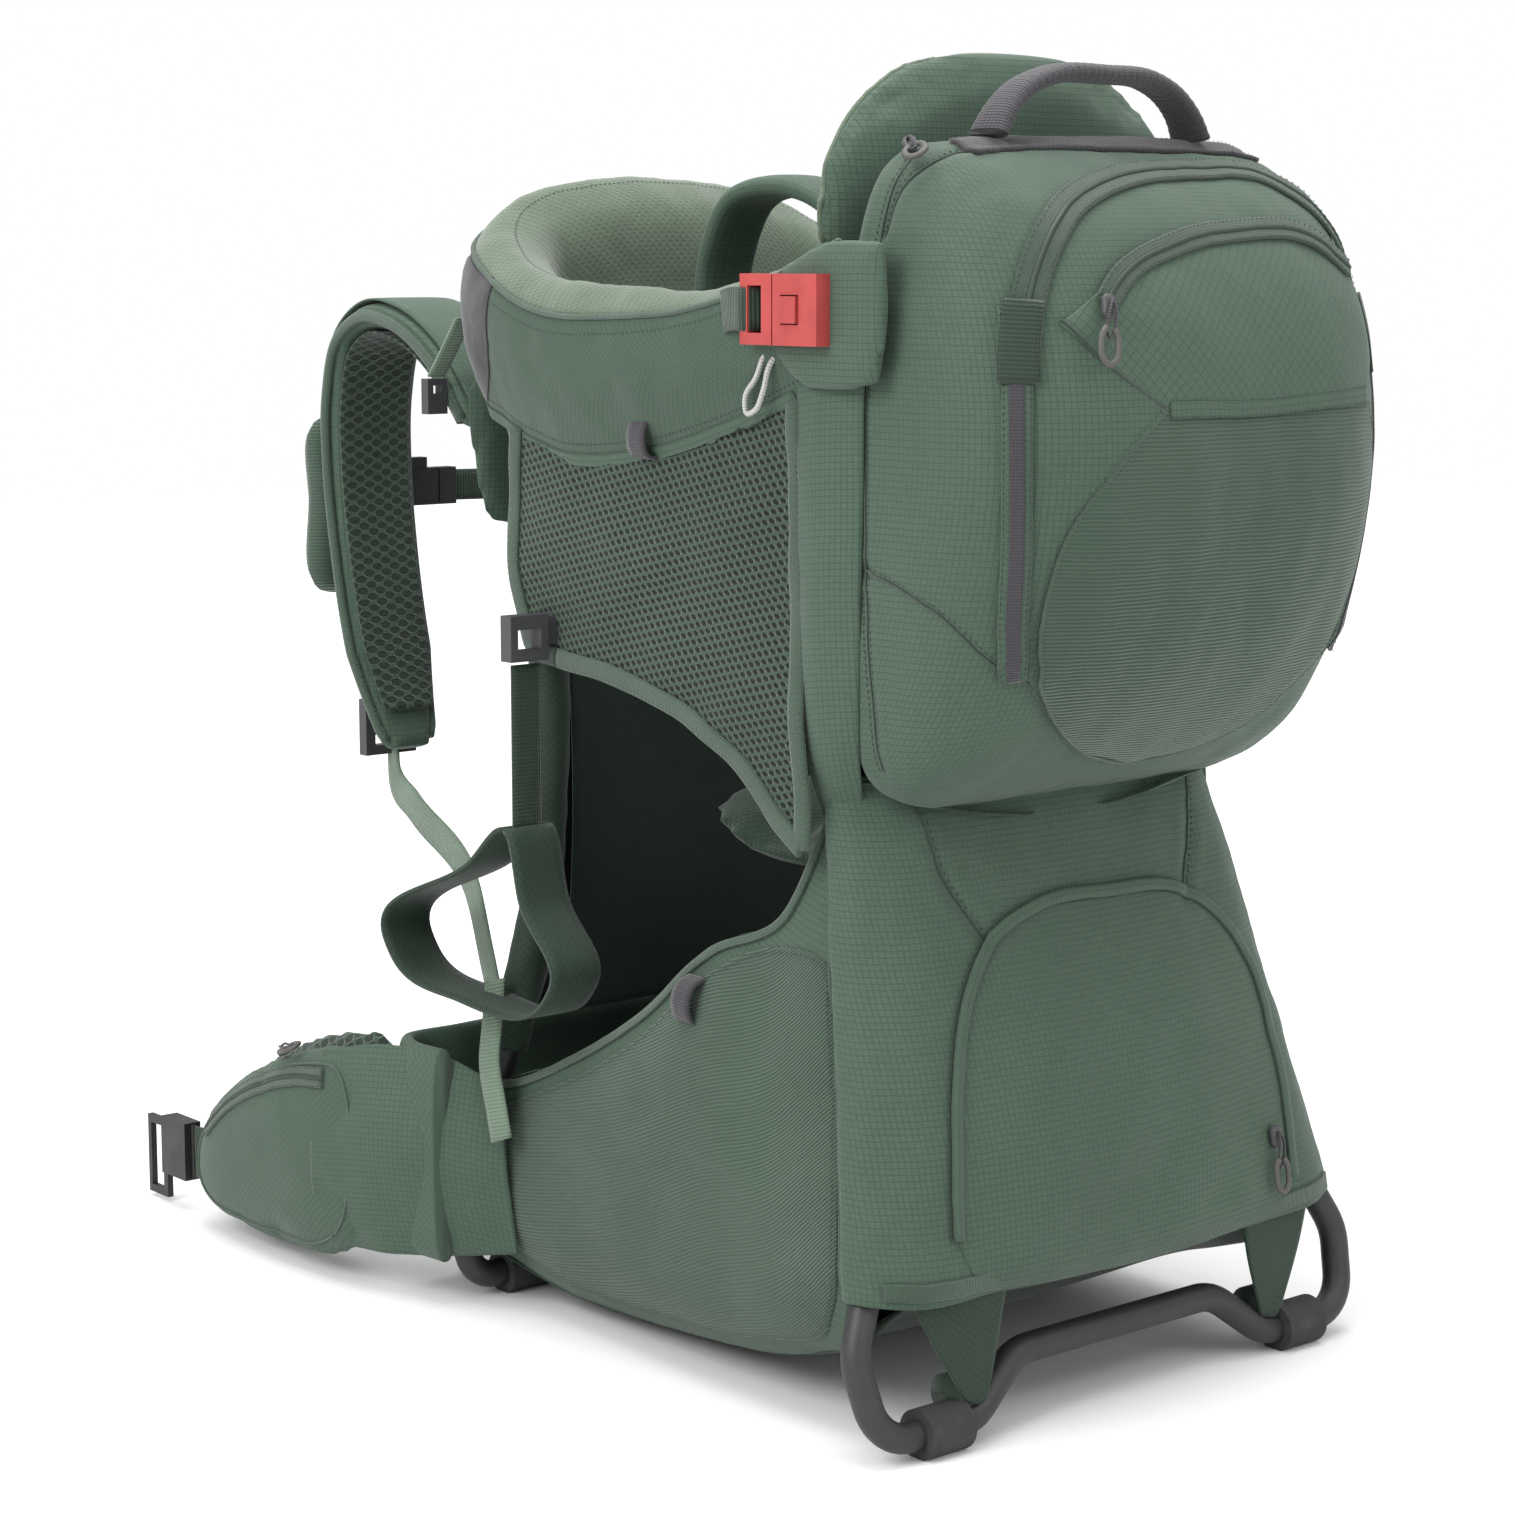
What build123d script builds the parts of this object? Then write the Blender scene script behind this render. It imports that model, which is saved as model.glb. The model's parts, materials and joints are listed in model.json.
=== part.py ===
from build123d import *
import math
import os

# Child carrier backpack: a tube frame with a fold-out kickstand, a padded child cockpit,
# a daypack, a sliding shoulder harness and a hip belt.  Millimetres.
# Working frame: X to the wearer's right, Y forward to the wearer, Z up, with Y = 0 on the
# kickstand feet and Z = 0 on the floor.  The finished parts are moved once, at the end, so
# that the origin is the bottom centre of the whole carrier.

# ---- driving dimensions ----
TUBE = 16.0                 # outside diameter of every frame tube
FOOT_RADIUS = 13.5          # rubber foot sleeve
FOOT_AXIS_Z = 12.5          # height of a tube's centre inside its foot
FOOT_INNER = 122.0          # a foot sleeve runs from here ...
FOOT_OUTER = 152.0          # ... to here, on each side
WHEELBASE = 368.0           # kickstand feet to front feet
STAND_PIVOT_X = 116.0       # the kickstand's arms close in towards their hinges
STAND_PIVOT_Y = 98.0
STAND_PIVOT_Z = 372.0
PIN_RADIUS = 3.0
PIN_CLEARANCE = 0.05
EYE_RADIUS = 11.0
CHEEK_GAP = 0.8             # between the kickstand eye and each bracket cheek
OUTER_GAP = 3.6             # wider on the outside, where the arm leans away
CHEEK_THICKNESS = 6.0
SLEEVE_RADIUS = 11.5        # fabric sleeve round a kickstand arm
HOOP_Z = 587.0              # height of the cockpit hoop's centre
HOOP_HALF_WIDTH = 152.0
HOOP_REAR_Y = 58.0
BACK_TOP_Y = 384.0          # top of the back tubes
BODY_HALF_WIDTH = 152.0     # lower body and mesh panels
POCKET_THICKNESS = 6.0
BACK_PAD_THICKNESS = 20.0
SHEET_THICKNESS = 2.0
DAYPACK_HALF_WIDTH = 150.0
DAYPACK_FRONT_Y = 80.0
WING_INNER = 184.0          # the wings turn about this line
WING_PIVOT_Y = 419.0
WING_OUTER = 206.0
HIP_POCKET_OUTER = 228.0
STRAP_INNER = 63.0
STRAP_OUTER = 125.0
STRAP_THICKNESS = 14.0
YOKE_BACK_Y = 424.0
YOKE_FRONT_Y = 432.0
WEBBING = 25.0
WEBBING_THICKNESS = 1.6
STERNUM_Y = 601.0
STERNUM_Z = 465.0
HANDLE_Y = 30.0
HANDLE_PIVOT_Z = 684.0
HANDLE_HALF_WIDTH = 74.0
HANDLE_TUBE = 15.0
ZIP_FACE_Y = -71.0          # rearmost face of the daypack, just behind it the zip sliders run
SLIDER_WIDTH = 8.0
TOP_ZIP_Y = 50.0
POCKET_ZIP_X = 3.0          # centre and radius of the front pocket's zip arc
POCKET_ZIP_Z = 373.0
POCKET_ZIP_RADIUS = 251.0
POCKET_ZIP_START_X = -90.0
STIRRUP_INNER = 157.0
STIRRUP_OUTER = 193.0
STIRRUP_PIVOT_Y = 306.0
STIRRUP_PIVOT_Z = 384.0
COLLAR_BUCKLE_Y = 80.0
COLLAR_BUCKLE_Z = 587.0
COLLAR_FACE_X = 166.0
BUTTON_TRAVEL = 3.0

STAND_LEAN = math.degrees(math.atan2(STAND_PIVOT_Y, STAND_PIVOT_Z - FOOT_AXIS_Z))
STAND_LENGTH = math.hypot(STAND_PIVOT_Y, STAND_PIVOT_Z - FOOT_AXIS_Z)
ARM_FOOT = (-167.0, 82.0)   # x, and height along the lean, where a straight arm begins

parts = {}


# ---- helpers ----
def block(x0, x1, y0, y1, z0, z1):
    """A box between two corners."""
    return Pos((x0 + x1) / 2, (y0 + y1) / 2, (z0 + z1) / 2) * Box(x1 - x0, y1 - y0, z1 - z0)


def prism_x(outline, x0, x1):
    """A side outline of (y, z) points, extruded from x0 to x1."""
    face = Plane.YZ.offset(x0) * Polygon(*outline, align=None)
    return extrude(face, amount=x1 - x0, dir=(1, 0, 0))


def prism_y(outline, y0, y1):
    """A front outline of (x, z) points, extruded from y0 to y1."""
    face = Plane.XZ.offset(-y0) * Polygon(*outline, align=None)
    return extrude(face, amount=y1 - y0, dir=(0, 1, 0))


def prism_z(outline, z0, z1):
    """A plan outline of (x, y) points, extruded from z0 to z1."""
    face = Plane.XY.offset(z0) * Polygon(*outline, align=None)
    return extrude(face, amount=z1 - z0, dir=(0, 0, 1))


def both_sides(left_half):
    """A symmetric outline from its left half, given from bottom to top."""
    return left_half + [(-x, other) for x, other in reversed(left_half)]


def rod_x(x0, x1, y, z, radius):
    """A round rod along X."""
    return Pos((x0 + x1) / 2, y, z) * Rot(0, 90, 0) * Cylinder(radius, x1 - x0)


def bend_radii(points, wanted):
    """The wanted radius at each corner, or the largest that its two runs leave room for."""
    radii = []
    for before, corner, after in zip(points, points[1:], points[2:]):
        run_in = Vector(*corner) - Vector(*before)
        run_out = Vector(*after) - Vector(*corner)
        half_turn = math.radians(run_in.get_angle(run_out)) / 2
        shorter = min(run_in.length, run_out.length)
        radii.append(min(wanted, 0.45 * shorter / math.tan(half_turn)))
    return radii


def tube(points, diameter, bend):
    """A round bar through the points, with each corner bent to a radius."""
    path = FilletPolyline(*points, radius=bend_radii(points, bend))
    section = Plane(origin=path @ 0, z_dir=path % 0) * Circle(diameter / 2)
    return sweep(section, path=path)


def ribbon(points, width, thickness, facing):
    """Flat webbing in straight runs; its face looks along facing."""
    runs = []
    for start, end in zip(points, points[1:]):
        start = Vector(*start)
        along = Vector(*end) - start
        normal = Vector(*facing)
        normal = normal - along * (normal.dot(along) / along.dot(along))
        middle = Plane(origin=start + along * 0.5, x_dir=along, z_dir=normal)
        runs.append(middle * Box(along.length, width, thickness))
    result = runs[0]
    for run in runs[1:]:
        result = result + run
    return result


def band_outline(centres, thickness):
    """The closed outline of a band of even thickness along a line of (y, z) points."""
    upper = []
    lower = []
    last = len(centres) - 1
    for index, (y, z) in enumerate(centres):
        y0, z0 = centres[max(index - 1, 0)]
        y1, z1 = centres[min(index + 1, last)]
        length = math.hypot(y1 - y0, z1 - z0)
        offset_y = -(z1 - z0) / length * thickness / 2
        offset_z = (y1 - y0) / length * thickness / 2
        upper.append((y + offset_y, z + offset_z))
        lower.append((y - offset_y, z - offset_z))
    return upper + lower[::-1]


def mirrored(solid):
    """The same piece on the wearer's right."""
    return mirror(solid, about=Plane.YZ)


def pair(solid):
    """The left piece and its mirror image, two separate solids in one node."""
    return Compound(children=[Part(solid.wrapped), Part(mirrored(solid).wrapped)])


def add_sides(name, solid):
    """A left node and a right node."""
    parts[name + "_left"] = solid
    parts[name + "_right"] = mirrored(solid)


# ---- frame ----
def make_frame():
    # One long tube: up the left of the back panel, down again on the right, and under the
    # wearer's hips as a loop that stands on the floor.
    half = [
        (-128, BACK_TOP_Y, 580),
        (-128, 371, 530),
        (-131, 350, 450),
        (-134, 339, 340),
        (-139, 345, 235),
        (-152, 364, 140),
        (-176, 373, 80),
        (-178, 372, 42),
        (-172, WHEELBASE, FOOT_AXIS_Z),
    ]
    path = half + [(-x, y, z) for x, y, z in reversed(half)]
    parts["main_frame"] = tube(path, TUBE, 26)
    front_foot = rod_x(-FOOT_OUTER, -FOOT_INNER, WHEELBASE, FOOT_AXIS_Z, FOOT_RADIUS)
    front_foot = front_foot - rod_x(-200, 200, WHEELBASE, FOOT_AXIS_Z, TUBE / 2)
    front_foot = front_foot - block(-200, 0, WHEELBASE - 30, WHEELBASE + 30, -20, 0)
    parts["front_feet"] = pair(front_foot)

    # The hoop round the cockpit, open at the front, where a bar closes it.
    hoop_half = [
        (-120, BACK_TOP_Y, HOOP_Z),
        (-138, BACK_TOP_Y - 4, HOOP_Z),
        (-HOOP_HALF_WIDTH, 340, HOOP_Z),
        (-HOOP_HALF_WIDTH - 2, 98, HOOP_Z),
        (-138, HOOP_REAR_Y, HOOP_Z),
    ]
    hoop = hoop_half + [(-x, y, z) for x, y, z in reversed(hoop_half)]
    parts["cockpit_hoop"] = tube(hoop, TUBE, 30)
    parts["top_bar"] = rod_x(-119, 119, BACK_TOP_Y, HOOP_Z, TUBE / 2)
    joint = block(-141, -108, BACK_TOP_Y - 11, BACK_TOP_Y + 11, 558, HOOP_Z + 11)
    parts["corner_joints"] = pair(joint)

    # Rear struts from the hoop down to the kickstand hinges.
    strut = tube([(-STAND_PIVOT_X, STAND_PIVOT_Y, 400), (-138, 92, 480), (-150, 62, HOOP_Z)], TUBE, 200)
    parts["rear_struts"] = pair(strut)


def make_hinges():
    # A moulded bracket closes each strut and holds the kickstand's eye between two cheeks.
    y = STAND_PIVOT_Y
    z = STAND_PIVOT_Z
    inner = TUBE / 2 + CHEEK_GAP
    outer = TUBE / 2 + OUTER_GAP
    reach_in = inner + CHEEK_THICKNESS
    reach_out = outer + CHEEK_THICKNESS
    cheeks = block(-reach_out, reach_in, y - EYE_RADIUS, y + EYE_RADIUS, z - 13, z + 16)
    cheeks = cheeks - block(-outer, inner, y - 20, y + 20, z - 20, z + EYE_RADIUS + 3)
    bracket = cheeks + block(-reach_out, reach_in, y - EYE_RADIUS, y + EYE_RADIUS, z + 15, z + 50)
    bracket = bracket - rod_x(-30, 30, y, z, PIN_RADIUS)
    parts["hinge_brackets"] = pair(Pos(-STAND_PIVOT_X, 0, 0) * bracket)
    pin = rod_x(-reach_out, reach_in, y, z, PIN_RADIUS)
    pin = pin + rod_x(-reach_out - 3, -reach_out, y, z, 5.5) + rod_x(reach_in, reach_in + 3, y, z, 5.5)
    parts["hinge_pins"] = pair(Pos(-STAND_PIVOT_X, 0, 0) * pin)


def stand_point(x, up):
    """A point of the leaning kickstand, from its height along the lean."""
    lean = math.radians(STAND_LEAN)
    return (x, up * math.sin(lean), FOOT_AXIS_Z + up * math.cos(lean))


def arm_cylinder(low_up, high_up, radius):
    """A straight cylinder along the left arm, between two heights along the lean."""
    foot_x, foot_up = ARM_FOOT
    slope = (-STAND_PIVOT_X - foot_x) / (STAND_LENGTH - foot_up)
    low = Vector(*stand_point(foot_x + slope * (low_up - foot_up), low_up))
    high = Vector(*stand_point(foot_x + slope * (high_up - foot_up), high_up))
    line = high - low
    return Plane(origin=low, z_dir=line) * extrude(Circle(radius), line.length)


def make_kickstand():
    half = [
        stand_point(-STAND_PIVOT_X, STAND_LENGTH),
        stand_point(*ARM_FOOT),
        stand_point(-185, 46),
        stand_point(-178, 0),
        stand_point(-112, 0),
        stand_point(-76, 28),
    ]
    path = half + [(-x, y, z) for x, y, z in reversed(half)]
    loop = tube(path, TUBE, 30)
    for side in (-1, 1):
        x = side * STAND_PIVOT_X
        eye = rod_x(x - TUBE / 2, x + TUBE / 2, STAND_PIVOT_Y, STAND_PIVOT_Z, EYE_RADIUS)
        loop = loop + eye
    bore = PIN_RADIUS + PIN_CLEARANCE
    parts["kickstand"] = loop - rod_x(-200, 200, STAND_PIVOT_Y, STAND_PIVOT_Z, bore)
    foot = rod_x(-FOOT_OUTER, -FOOT_INNER, 0, FOOT_AXIS_Z, FOOT_RADIUS)
    foot = foot - rod_x(-200, 200, 0, FOOT_AXIS_Z, TUBE / 2)
    parts["rear_feet"] = pair(foot - block(-200, 0, -30, 30, -20, 0))

    # The corner seams of the fabric body: sleeves sewn round the two arms.
    sleeve = arm_cylinder(92, 338, SLEEVE_RADIUS) - arm_cylinder(80, 350, TUBE / 2 + 0.1)
    parts["corner_sleeves"] = pair(sleeve)

    # Rear panel with its storage pocket, hung between the arms, and the two gussets that
    # tie it down to the crossbar.
    rear_face = [(6, 88), (14, 150), (29, 205)]
    rear_panel = rear_face + [(y + 9.5, z) for y, z in reversed(rear_face)]
    parts["rear_pocket"] = prism_x(rear_panel, -122, 122)
    gusset = prism_y([(-152, 86), (-94, 86), (-106, 30), (-120, 24)], 6, 12)
    parts["stand_gussets"] = pair(gusset)


# ---- fabric body ----
def make_body():
    side = [
        (17, 88), (25, 150), (40, 205), (58, 262), (76, 330), (84, 330), (96, 290),
        (117, 256), (168, 238), (221, 196), (322, 138), (326, 46), (300, 26), (194, 20),
        (107, 32), (40, 52),
    ]
    width = BODY_HALF_WIDTH - POCKET_THICKNESS - 0.5
    front = both_sides([(-130, 10), (-width, 40), (-width, 150), (-138, 255), (-118, 335)])
    channel = arm_cylinder(60, STAND_LENGTH, SLEEVE_RADIUS + 1)
    body = prism_x(side, -170, 170) & prism_y(front, -20, 400)
    parts["lower_body"] = body - channel - mirrored(channel)
    pocket = [(36, 78), (40, 130), (62, 196), (70, 240), (117, 246), (168, 232), (302, 120), (300, 50)]
    slab = prism_x(pocket, -BODY_HALF_WIDTH, -BODY_HALF_WIDTH + POCKET_THICKNESS)
    parts["side_pockets"] = pair(slab - channel)

    mesh = [
        (96, 540), (214, 503), (305, 499), (338, 512), (334, 420), (326, 388), (302, 386),
        (251, 382), (180, 365), (129, 335), (92, 304),
    ]
    parts["side_meshes"] = pair(prism_x(mesh, -BODY_HALF_WIDTH, -BODY_HALF_WIDTH + 3))

    collar = [
        (81, 548), (97, 544), (214, 507), (305, 503), (343, 516), (372, 532), (372, 612),
        (340, 604), (231, 600), (129, 602), (81, 612),
    ]
    parts["collars"] = pair(prism_x(collar, -COLLAR_FACE_X + 1, -COLLAR_FACE_X + 27))

    front_pad = both_sides([(-152, 545), (-152, 612), (-124, 638), (-64, 654)])
    parts["front_pad"] = prism_y(front_pad, 373, 417)


def make_back():
    face = [
        (417, 540), (404, 500), (390, 440), (380, 380), (376, 320), (378, 250), (390, 190),
        (402, 166),
    ]
    thick = BACK_PAD_THICKNESS
    parts["back_panel"] = prism_x(face + [(y - thick, z) for y, z in reversed(face)], -118, 118)
    back = [(y - thick - 0.5, z) for y, z in face]
    sheet = back + [(y - SHEET_THICKNESS, z) for y, z in reversed(back)]
    parts["framesheet"] = prism_x(sheet, -116, 116)

    wrap = [
        (-205, 362), (-205, 412), (-196, 418), (196, 418), (205, 412), (205, 362),
        (188, 362), (187, 386), (-187, 386), (-188, 362),
    ]
    belt = prism_z(wrap, 24, 158)
    parts["hip_belt_back"] = belt


def make_daypack():
    side = [
        (42, 668), (-8, 658), (-42, 625), (-57, 570), (-58, 505), (-44, 445), (-14, 385),
        (22, 348), (60, 338), (DAYPACK_FRONT_Y, 345), (DAYPACK_FRONT_Y, 540), (70, 640), (60, 664),
    ]
    wide = DAYPACK_HALF_WIDTH
    front = both_sides([(-120, 336), (-142, 372), (-wide, 440), (-wide, 590), (-138, 642), (-112, 669)])
    plan = [
        (-142, 90), (-142, 50), (-wide, 40), (-142, -20), (-118, -60), (118, -60), (142, -20),
        (wide, 40), (142, 50), (142, 90),
    ]
    shell = prism_x(side, -170, 170) & prism_y(front, -90, 100)
    parts["daypack_shell"] = shell & prism_z(plan, 320, 680)
    pocket_side = [(y - 0.5, z) for y, z in [(-53, 588), (-57, 570), (-58, 505), (-44, 445), (-18, 393)]]
    pocket_side = pocket_side + [(y - 12, z) for y, z in reversed(pocket_side)]
    pocket_front = both_sides([(-62, 380), (-92, 430), (-104, 500), (-104, 560), (-90, 590)])
    parts["daypack_pocket"] = prism_x(pocket_side, -130, 130) & prism_y(pocket_front, -90, 0)

    headrest = both_sides([(-124, 590), (-134, 640), (-114, 688), (-79, 714), (-36, 726)])
    parts["headrest"] = prism_y(headrest, 92, 110)

    reach = HANDLE_HALF_WIDTH
    top = HANDLE_PIVOT_Z
    route = [(-reach, top), (-reach + 18, top + 14), (-28, top + 23)]
    route = [(x, HANDLE_Y, z) for x, z in route + [(-x, z) for x, z in reversed(route)]]
    handle = tube(route, HANDLE_TUBE, 60)
    for side in (-1, 1):
        handle = handle + rod_x(side * reach - 9, side * reach + 9, HANDLE_Y, top, HANDLE_TUBE / 2)
    parts["haul_handle"] = handle
    anchor = prism_y([(-104, 660), (-60, 660), (-66, 674), (-98, 674)], 14, 42)
    parts["handle_anchors"] = pair(anchor)


def make_child_seat():
    saddle = [
        (120, 276), (200, 268), (285, 276), (292, 300), (282, 300), (200, 282), (132, 290),
        (130, 330), (120, 330),
    ]
    parts["child_seat"] = prism_x(saddle, -80, 80)
    shoulder = [
        (120, 500), (122, 560), (130, 610), (152, 640), (186, 648), (214, 628), (224, 590),
        (220, 520), (212, 450), (206, 400),
    ]
    pad = prism_x(band_outline(shoulder, 10), -62, -28)
    parts["child_harness"] = pair(pad)
    clip = block(-27, 27, 216, 228, 495, 523)
    parts["chest_clip"] = clip - block(-10, 10, 210, 235, 503, 515)


# ---- wearer's harness ----
def make_harness():
    yoke = both_sides([(-112, 452), (-126, 500), (-126, 540), (-100, 556)])
    parts["harness_yoke"] = prism_y(yoke, YOKE_BACK_Y, YOKE_FRONT_Y)
    line = [
        (439, 512), (456, 536), (482, 558), (515, 573), (548, 576), (574, 561), (587, 525),
        (588, 480), (582, 430), (570, 375), (554, 328), (542, 304),
    ]
    strap = prism_x(band_outline(line, STRAP_THICKNESS), -STRAP_OUTER, -STRAP_INNER)
    add_sides("shoulder_strap", strap)
    pocket = [(597, 400), (616, 420), (622, 470), (612, 505), (597, 512)]
    parts["strap_pocket"] = prism_x(pocket, -124, -90)

    lock = block(-114, -76, 564, 572, 298, 334) - block(-107, -83, 560, 576, 304, 311)
    lock = lock - block(-107, -83, 560, 576, 319, 326)
    parts["strap_locks"] = pair(lock)
    lower = ribbon(
        [(-97, 558, 289), (-128, 432, 238), (-150, 372, 172)], WEBBING, WEBBING_THICKNESS, (1, 0, 0)
    )
    parts["lower_webbings"] = pair(lower)

    lifter = ribbon([(-134, 421, 576), (-134, 449, 545)], 11, WEBBING_THICKNESS, (0, 1, 1))
    parts["load_lifters"] = pair(lifter)
    hook = block(-141, -127, 449, 456, 520, 541) - block(-137, -131, 440, 460, 532, 537)
    parts["lifter_hooks"] = pair(hook)


def make_sternum():
    y0 = STERNUM_Y - 5
    y1 = STERNUM_Y + 5
    z0 = STERNUM_Z - 12
    z1 = STERNUM_Z + 12
    socket = block(-62, -34, y0, y1, z0, z1)
    socket = socket - block(-50, -33, STERNUM_Y - 3, STERNUM_Y + 3, STERNUM_Z - 7.5, STERNUM_Z + 7.5)
    tab = block(-87, -61, STERNUM_Y - 1, STERNUM_Y + 1, STERNUM_Z - 10, STERNUM_Z + 10)
    whistle = block(-56, -42, y0 + 1, y1 - 1, z1 - 0.5, z1 + 7)
    parts["sternum_socket"] = socket + tab + whistle
    plug = block(-33, -20, y0, y1, z0, z1)
    plug = plug + block(-48, -32, STERNUM_Y - 2.4, STERNUM_Y + 2.4, STERNUM_Z - 6.8, STERNUM_Z + 6.8)
    parts["sternum_plug"] = plug
    parts["sternum_webbing"] = block(
        -19.8, 110, STERNUM_Y - 1, STERNUM_Y + 1, STERNUM_Z - 10, STERNUM_Z + 10
    )


# ---- hip belt ----
def make_hip_belt():
    wing = [
        (421, 26), (421, 156), (470, 152), (515, 138), (570, 110), (612, 74), (629, 58),
        (630, 22), (612, 10), (570, 4), (500, 4), (450, 12),
    ]
    add_sides("hip_wing", prism_x(wing, -WING_OUTER, -WING_INNER))
    pocket = [
        (430, 22), (430, 148), (470, 144), (513, 131), (565, 104), (600, 74), (612, 56),
        (612, 24), (596, 13), (560, 7), (500, 7), (455, 12),
    ]
    add_sides("hip_pocket", prism_x(pocket, -HIP_POCKET_OUTER, -WING_OUTER - 0.4))
    # Each buckle half hangs on its webbing, with a pull loop in front.
    socket = block(-213, -201, 634, 664, 21, 59) - block(-210, -204, 648, 665, 27, 53)
    bar = Pos(-207, 633, 40) * Cylinder(1.5, 36)
    pull = block(-209, -205, 664, 688, 3, 55) - block(-210, -204, 669, 684, 8, 50)
    parts["hip_buckle_left"] = socket + bar + pull
    plug = block(201, 213, 634, 650, 21, 59) + block(204.6, 209.4, 649, 674, 28, 52)
    plug = plug - block(200, 214, 658, 668, 35, 45)
    parts["hip_buckle_right"] = plug + mirrored(bar)


# ---- cockpit buckles ----
def make_collar_buckles():
    y = COLLAR_BUCKLE_Y
    z = COLLAR_BUCKLE_Z
    face = COLLAR_FACE_X
    # The socket's pocket opens forward and the plug draws out of it that way.
    socket = block(-face - 10, -face, y - 26, y + 8, z - 18, z + 18)
    socket = socket - block(-face - 8, -face - 2, y - 18, y + 9, z - 13, z + 13)
    window = block(-face - 11, -face - 7, y - 12, y + 2, z - 7.5, z + 7.5)
    parts["buckle_sockets"] = pair(socket - window)
    plug = block(-face - 10, -face, y + 9, y + 34, z - 18, z + 18)
    plug = plug - block(-face - 11, -face + 1, y + 17, y + 28, z - 12, z + 12)
    tongue = block(-face - 5, -face - 2.6, y - 15, y + 10, z - 12, z + 12)
    add_sides("buckle_plug", plug + tongue)
    button = block(-face - 11.5, -face - 8.6, y - 11.2, y + 1.2, z - 6.8, z + 6.8)
    add_sides("buckle_button", button)


# ---- foot stirrups ----
def make_stirrups():
    y = STIRRUP_PIVOT_Y
    z = STIRRUP_PIVOT_Z
    sling = [(y, 292), (290, 250), (262, 212), (270, 200), (356, 188), (420, 202), (428, 212), (340, 268)]
    outside = Polygon(*sling, align=None)
    band = outside - offset(outside, amount=-2.5)
    face = Plane.YZ.offset(-STIRRUP_OUTER) * band
    loop = extrude(face, amount=STIRRUP_OUTER - STIRRUP_INNER, dir=(1, 0, 0))
    strap = block(-185, -165, y - 1, y + 1, 290.5, z - 1)
    eye = rod_x(-185, -165, y, z, 3)
    add_sides("stirrup", loop + strap + eye)
    ladder = block(-188, -162, y - 5, y + 5, z + 4, z + 30)
    ladder = ladder - block(-183, -167, y - 6, y + 6, z + 10, z + 22)
    tab = block(-162.5, -BODY_HALF_WIDTH - 0.5, y - 1, y + 18, z + 12, z + 28)
    parts["stirrup_adjusters"] = pair(ladder + tab)


# ---- zip sliders ----
def make_zips():
    half = SLIDER_WIDTH / 2
    # The daypack's top zip crosses its top edge, just behind the handle.
    y = TOP_ZIP_Y
    parts["daypack_zip_slider"] = block(-124, -112, y - half, y + half, 669.5, 674)
    # The front pocket's zip is an arc, and its slider rests at the left end.
    x = POCKET_ZIP_START_X
    z = POCKET_ZIP_Z + math.sqrt(POCKET_ZIP_RADIUS ** 2 - (x - POCKET_ZIP_X) ** 2)
    body = block(x - half, x + half, ZIP_FACE_Y - 5, ZIP_FACE_Y - 1, z - 6, z + 6)
    pull = block(x - 2.5, x + 2.5, ZIP_FACE_Y - 4, ZIP_FACE_Y - 2, z - 32, z - 5)
    parts["pocket_zip_slider"] = body + pull
    # The rear pocket's zip runs up its right edge, along the leaning panel.
    parts["rear_zip_slider"] = block(106, 106 + SLIDER_WIDTH, 1, 5, 120, 132)
    hip = block(-HIP_POCKET_OUTER + 6, -HIP_POCKET_OUTER + 12, 500, 512, 135.5, 140)
    add_sides("hip_zip_slider", hip)


make_frame()
make_hinges()
make_kickstand()
make_body()
make_back()
make_daypack()
make_child_seat()
make_harness()
make_sternum()
make_hip_belt()
make_collar_buckles()
make_stirrups()
make_zips()

# ---- move the origin to the bottom centre of the whole carrier and write the parts ----
whole = Compound(children=[Part(solid.wrapped) for solid in parts.values()]).bounding_box()
ORIGIN = Vector((whole.min.X + whole.max.X) / 2, (whole.min.Y + whole.max.Y) / 2, whole.min.Z)
os.makedirs("parts", exist_ok=True)
for name, solid in parts.items():
    export_step(solid.moved(Location(-ORIGIN)), os.path.join("parts", name + ".step"))
print(len(parts), "nodes; origin moved by", ORIGIN, "; size", whole.size)
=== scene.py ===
import bmesh
import bpy
import json
import math
import numpy as np
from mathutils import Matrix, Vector, noise
from mathutils.bvhtree import BVHTree

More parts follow.
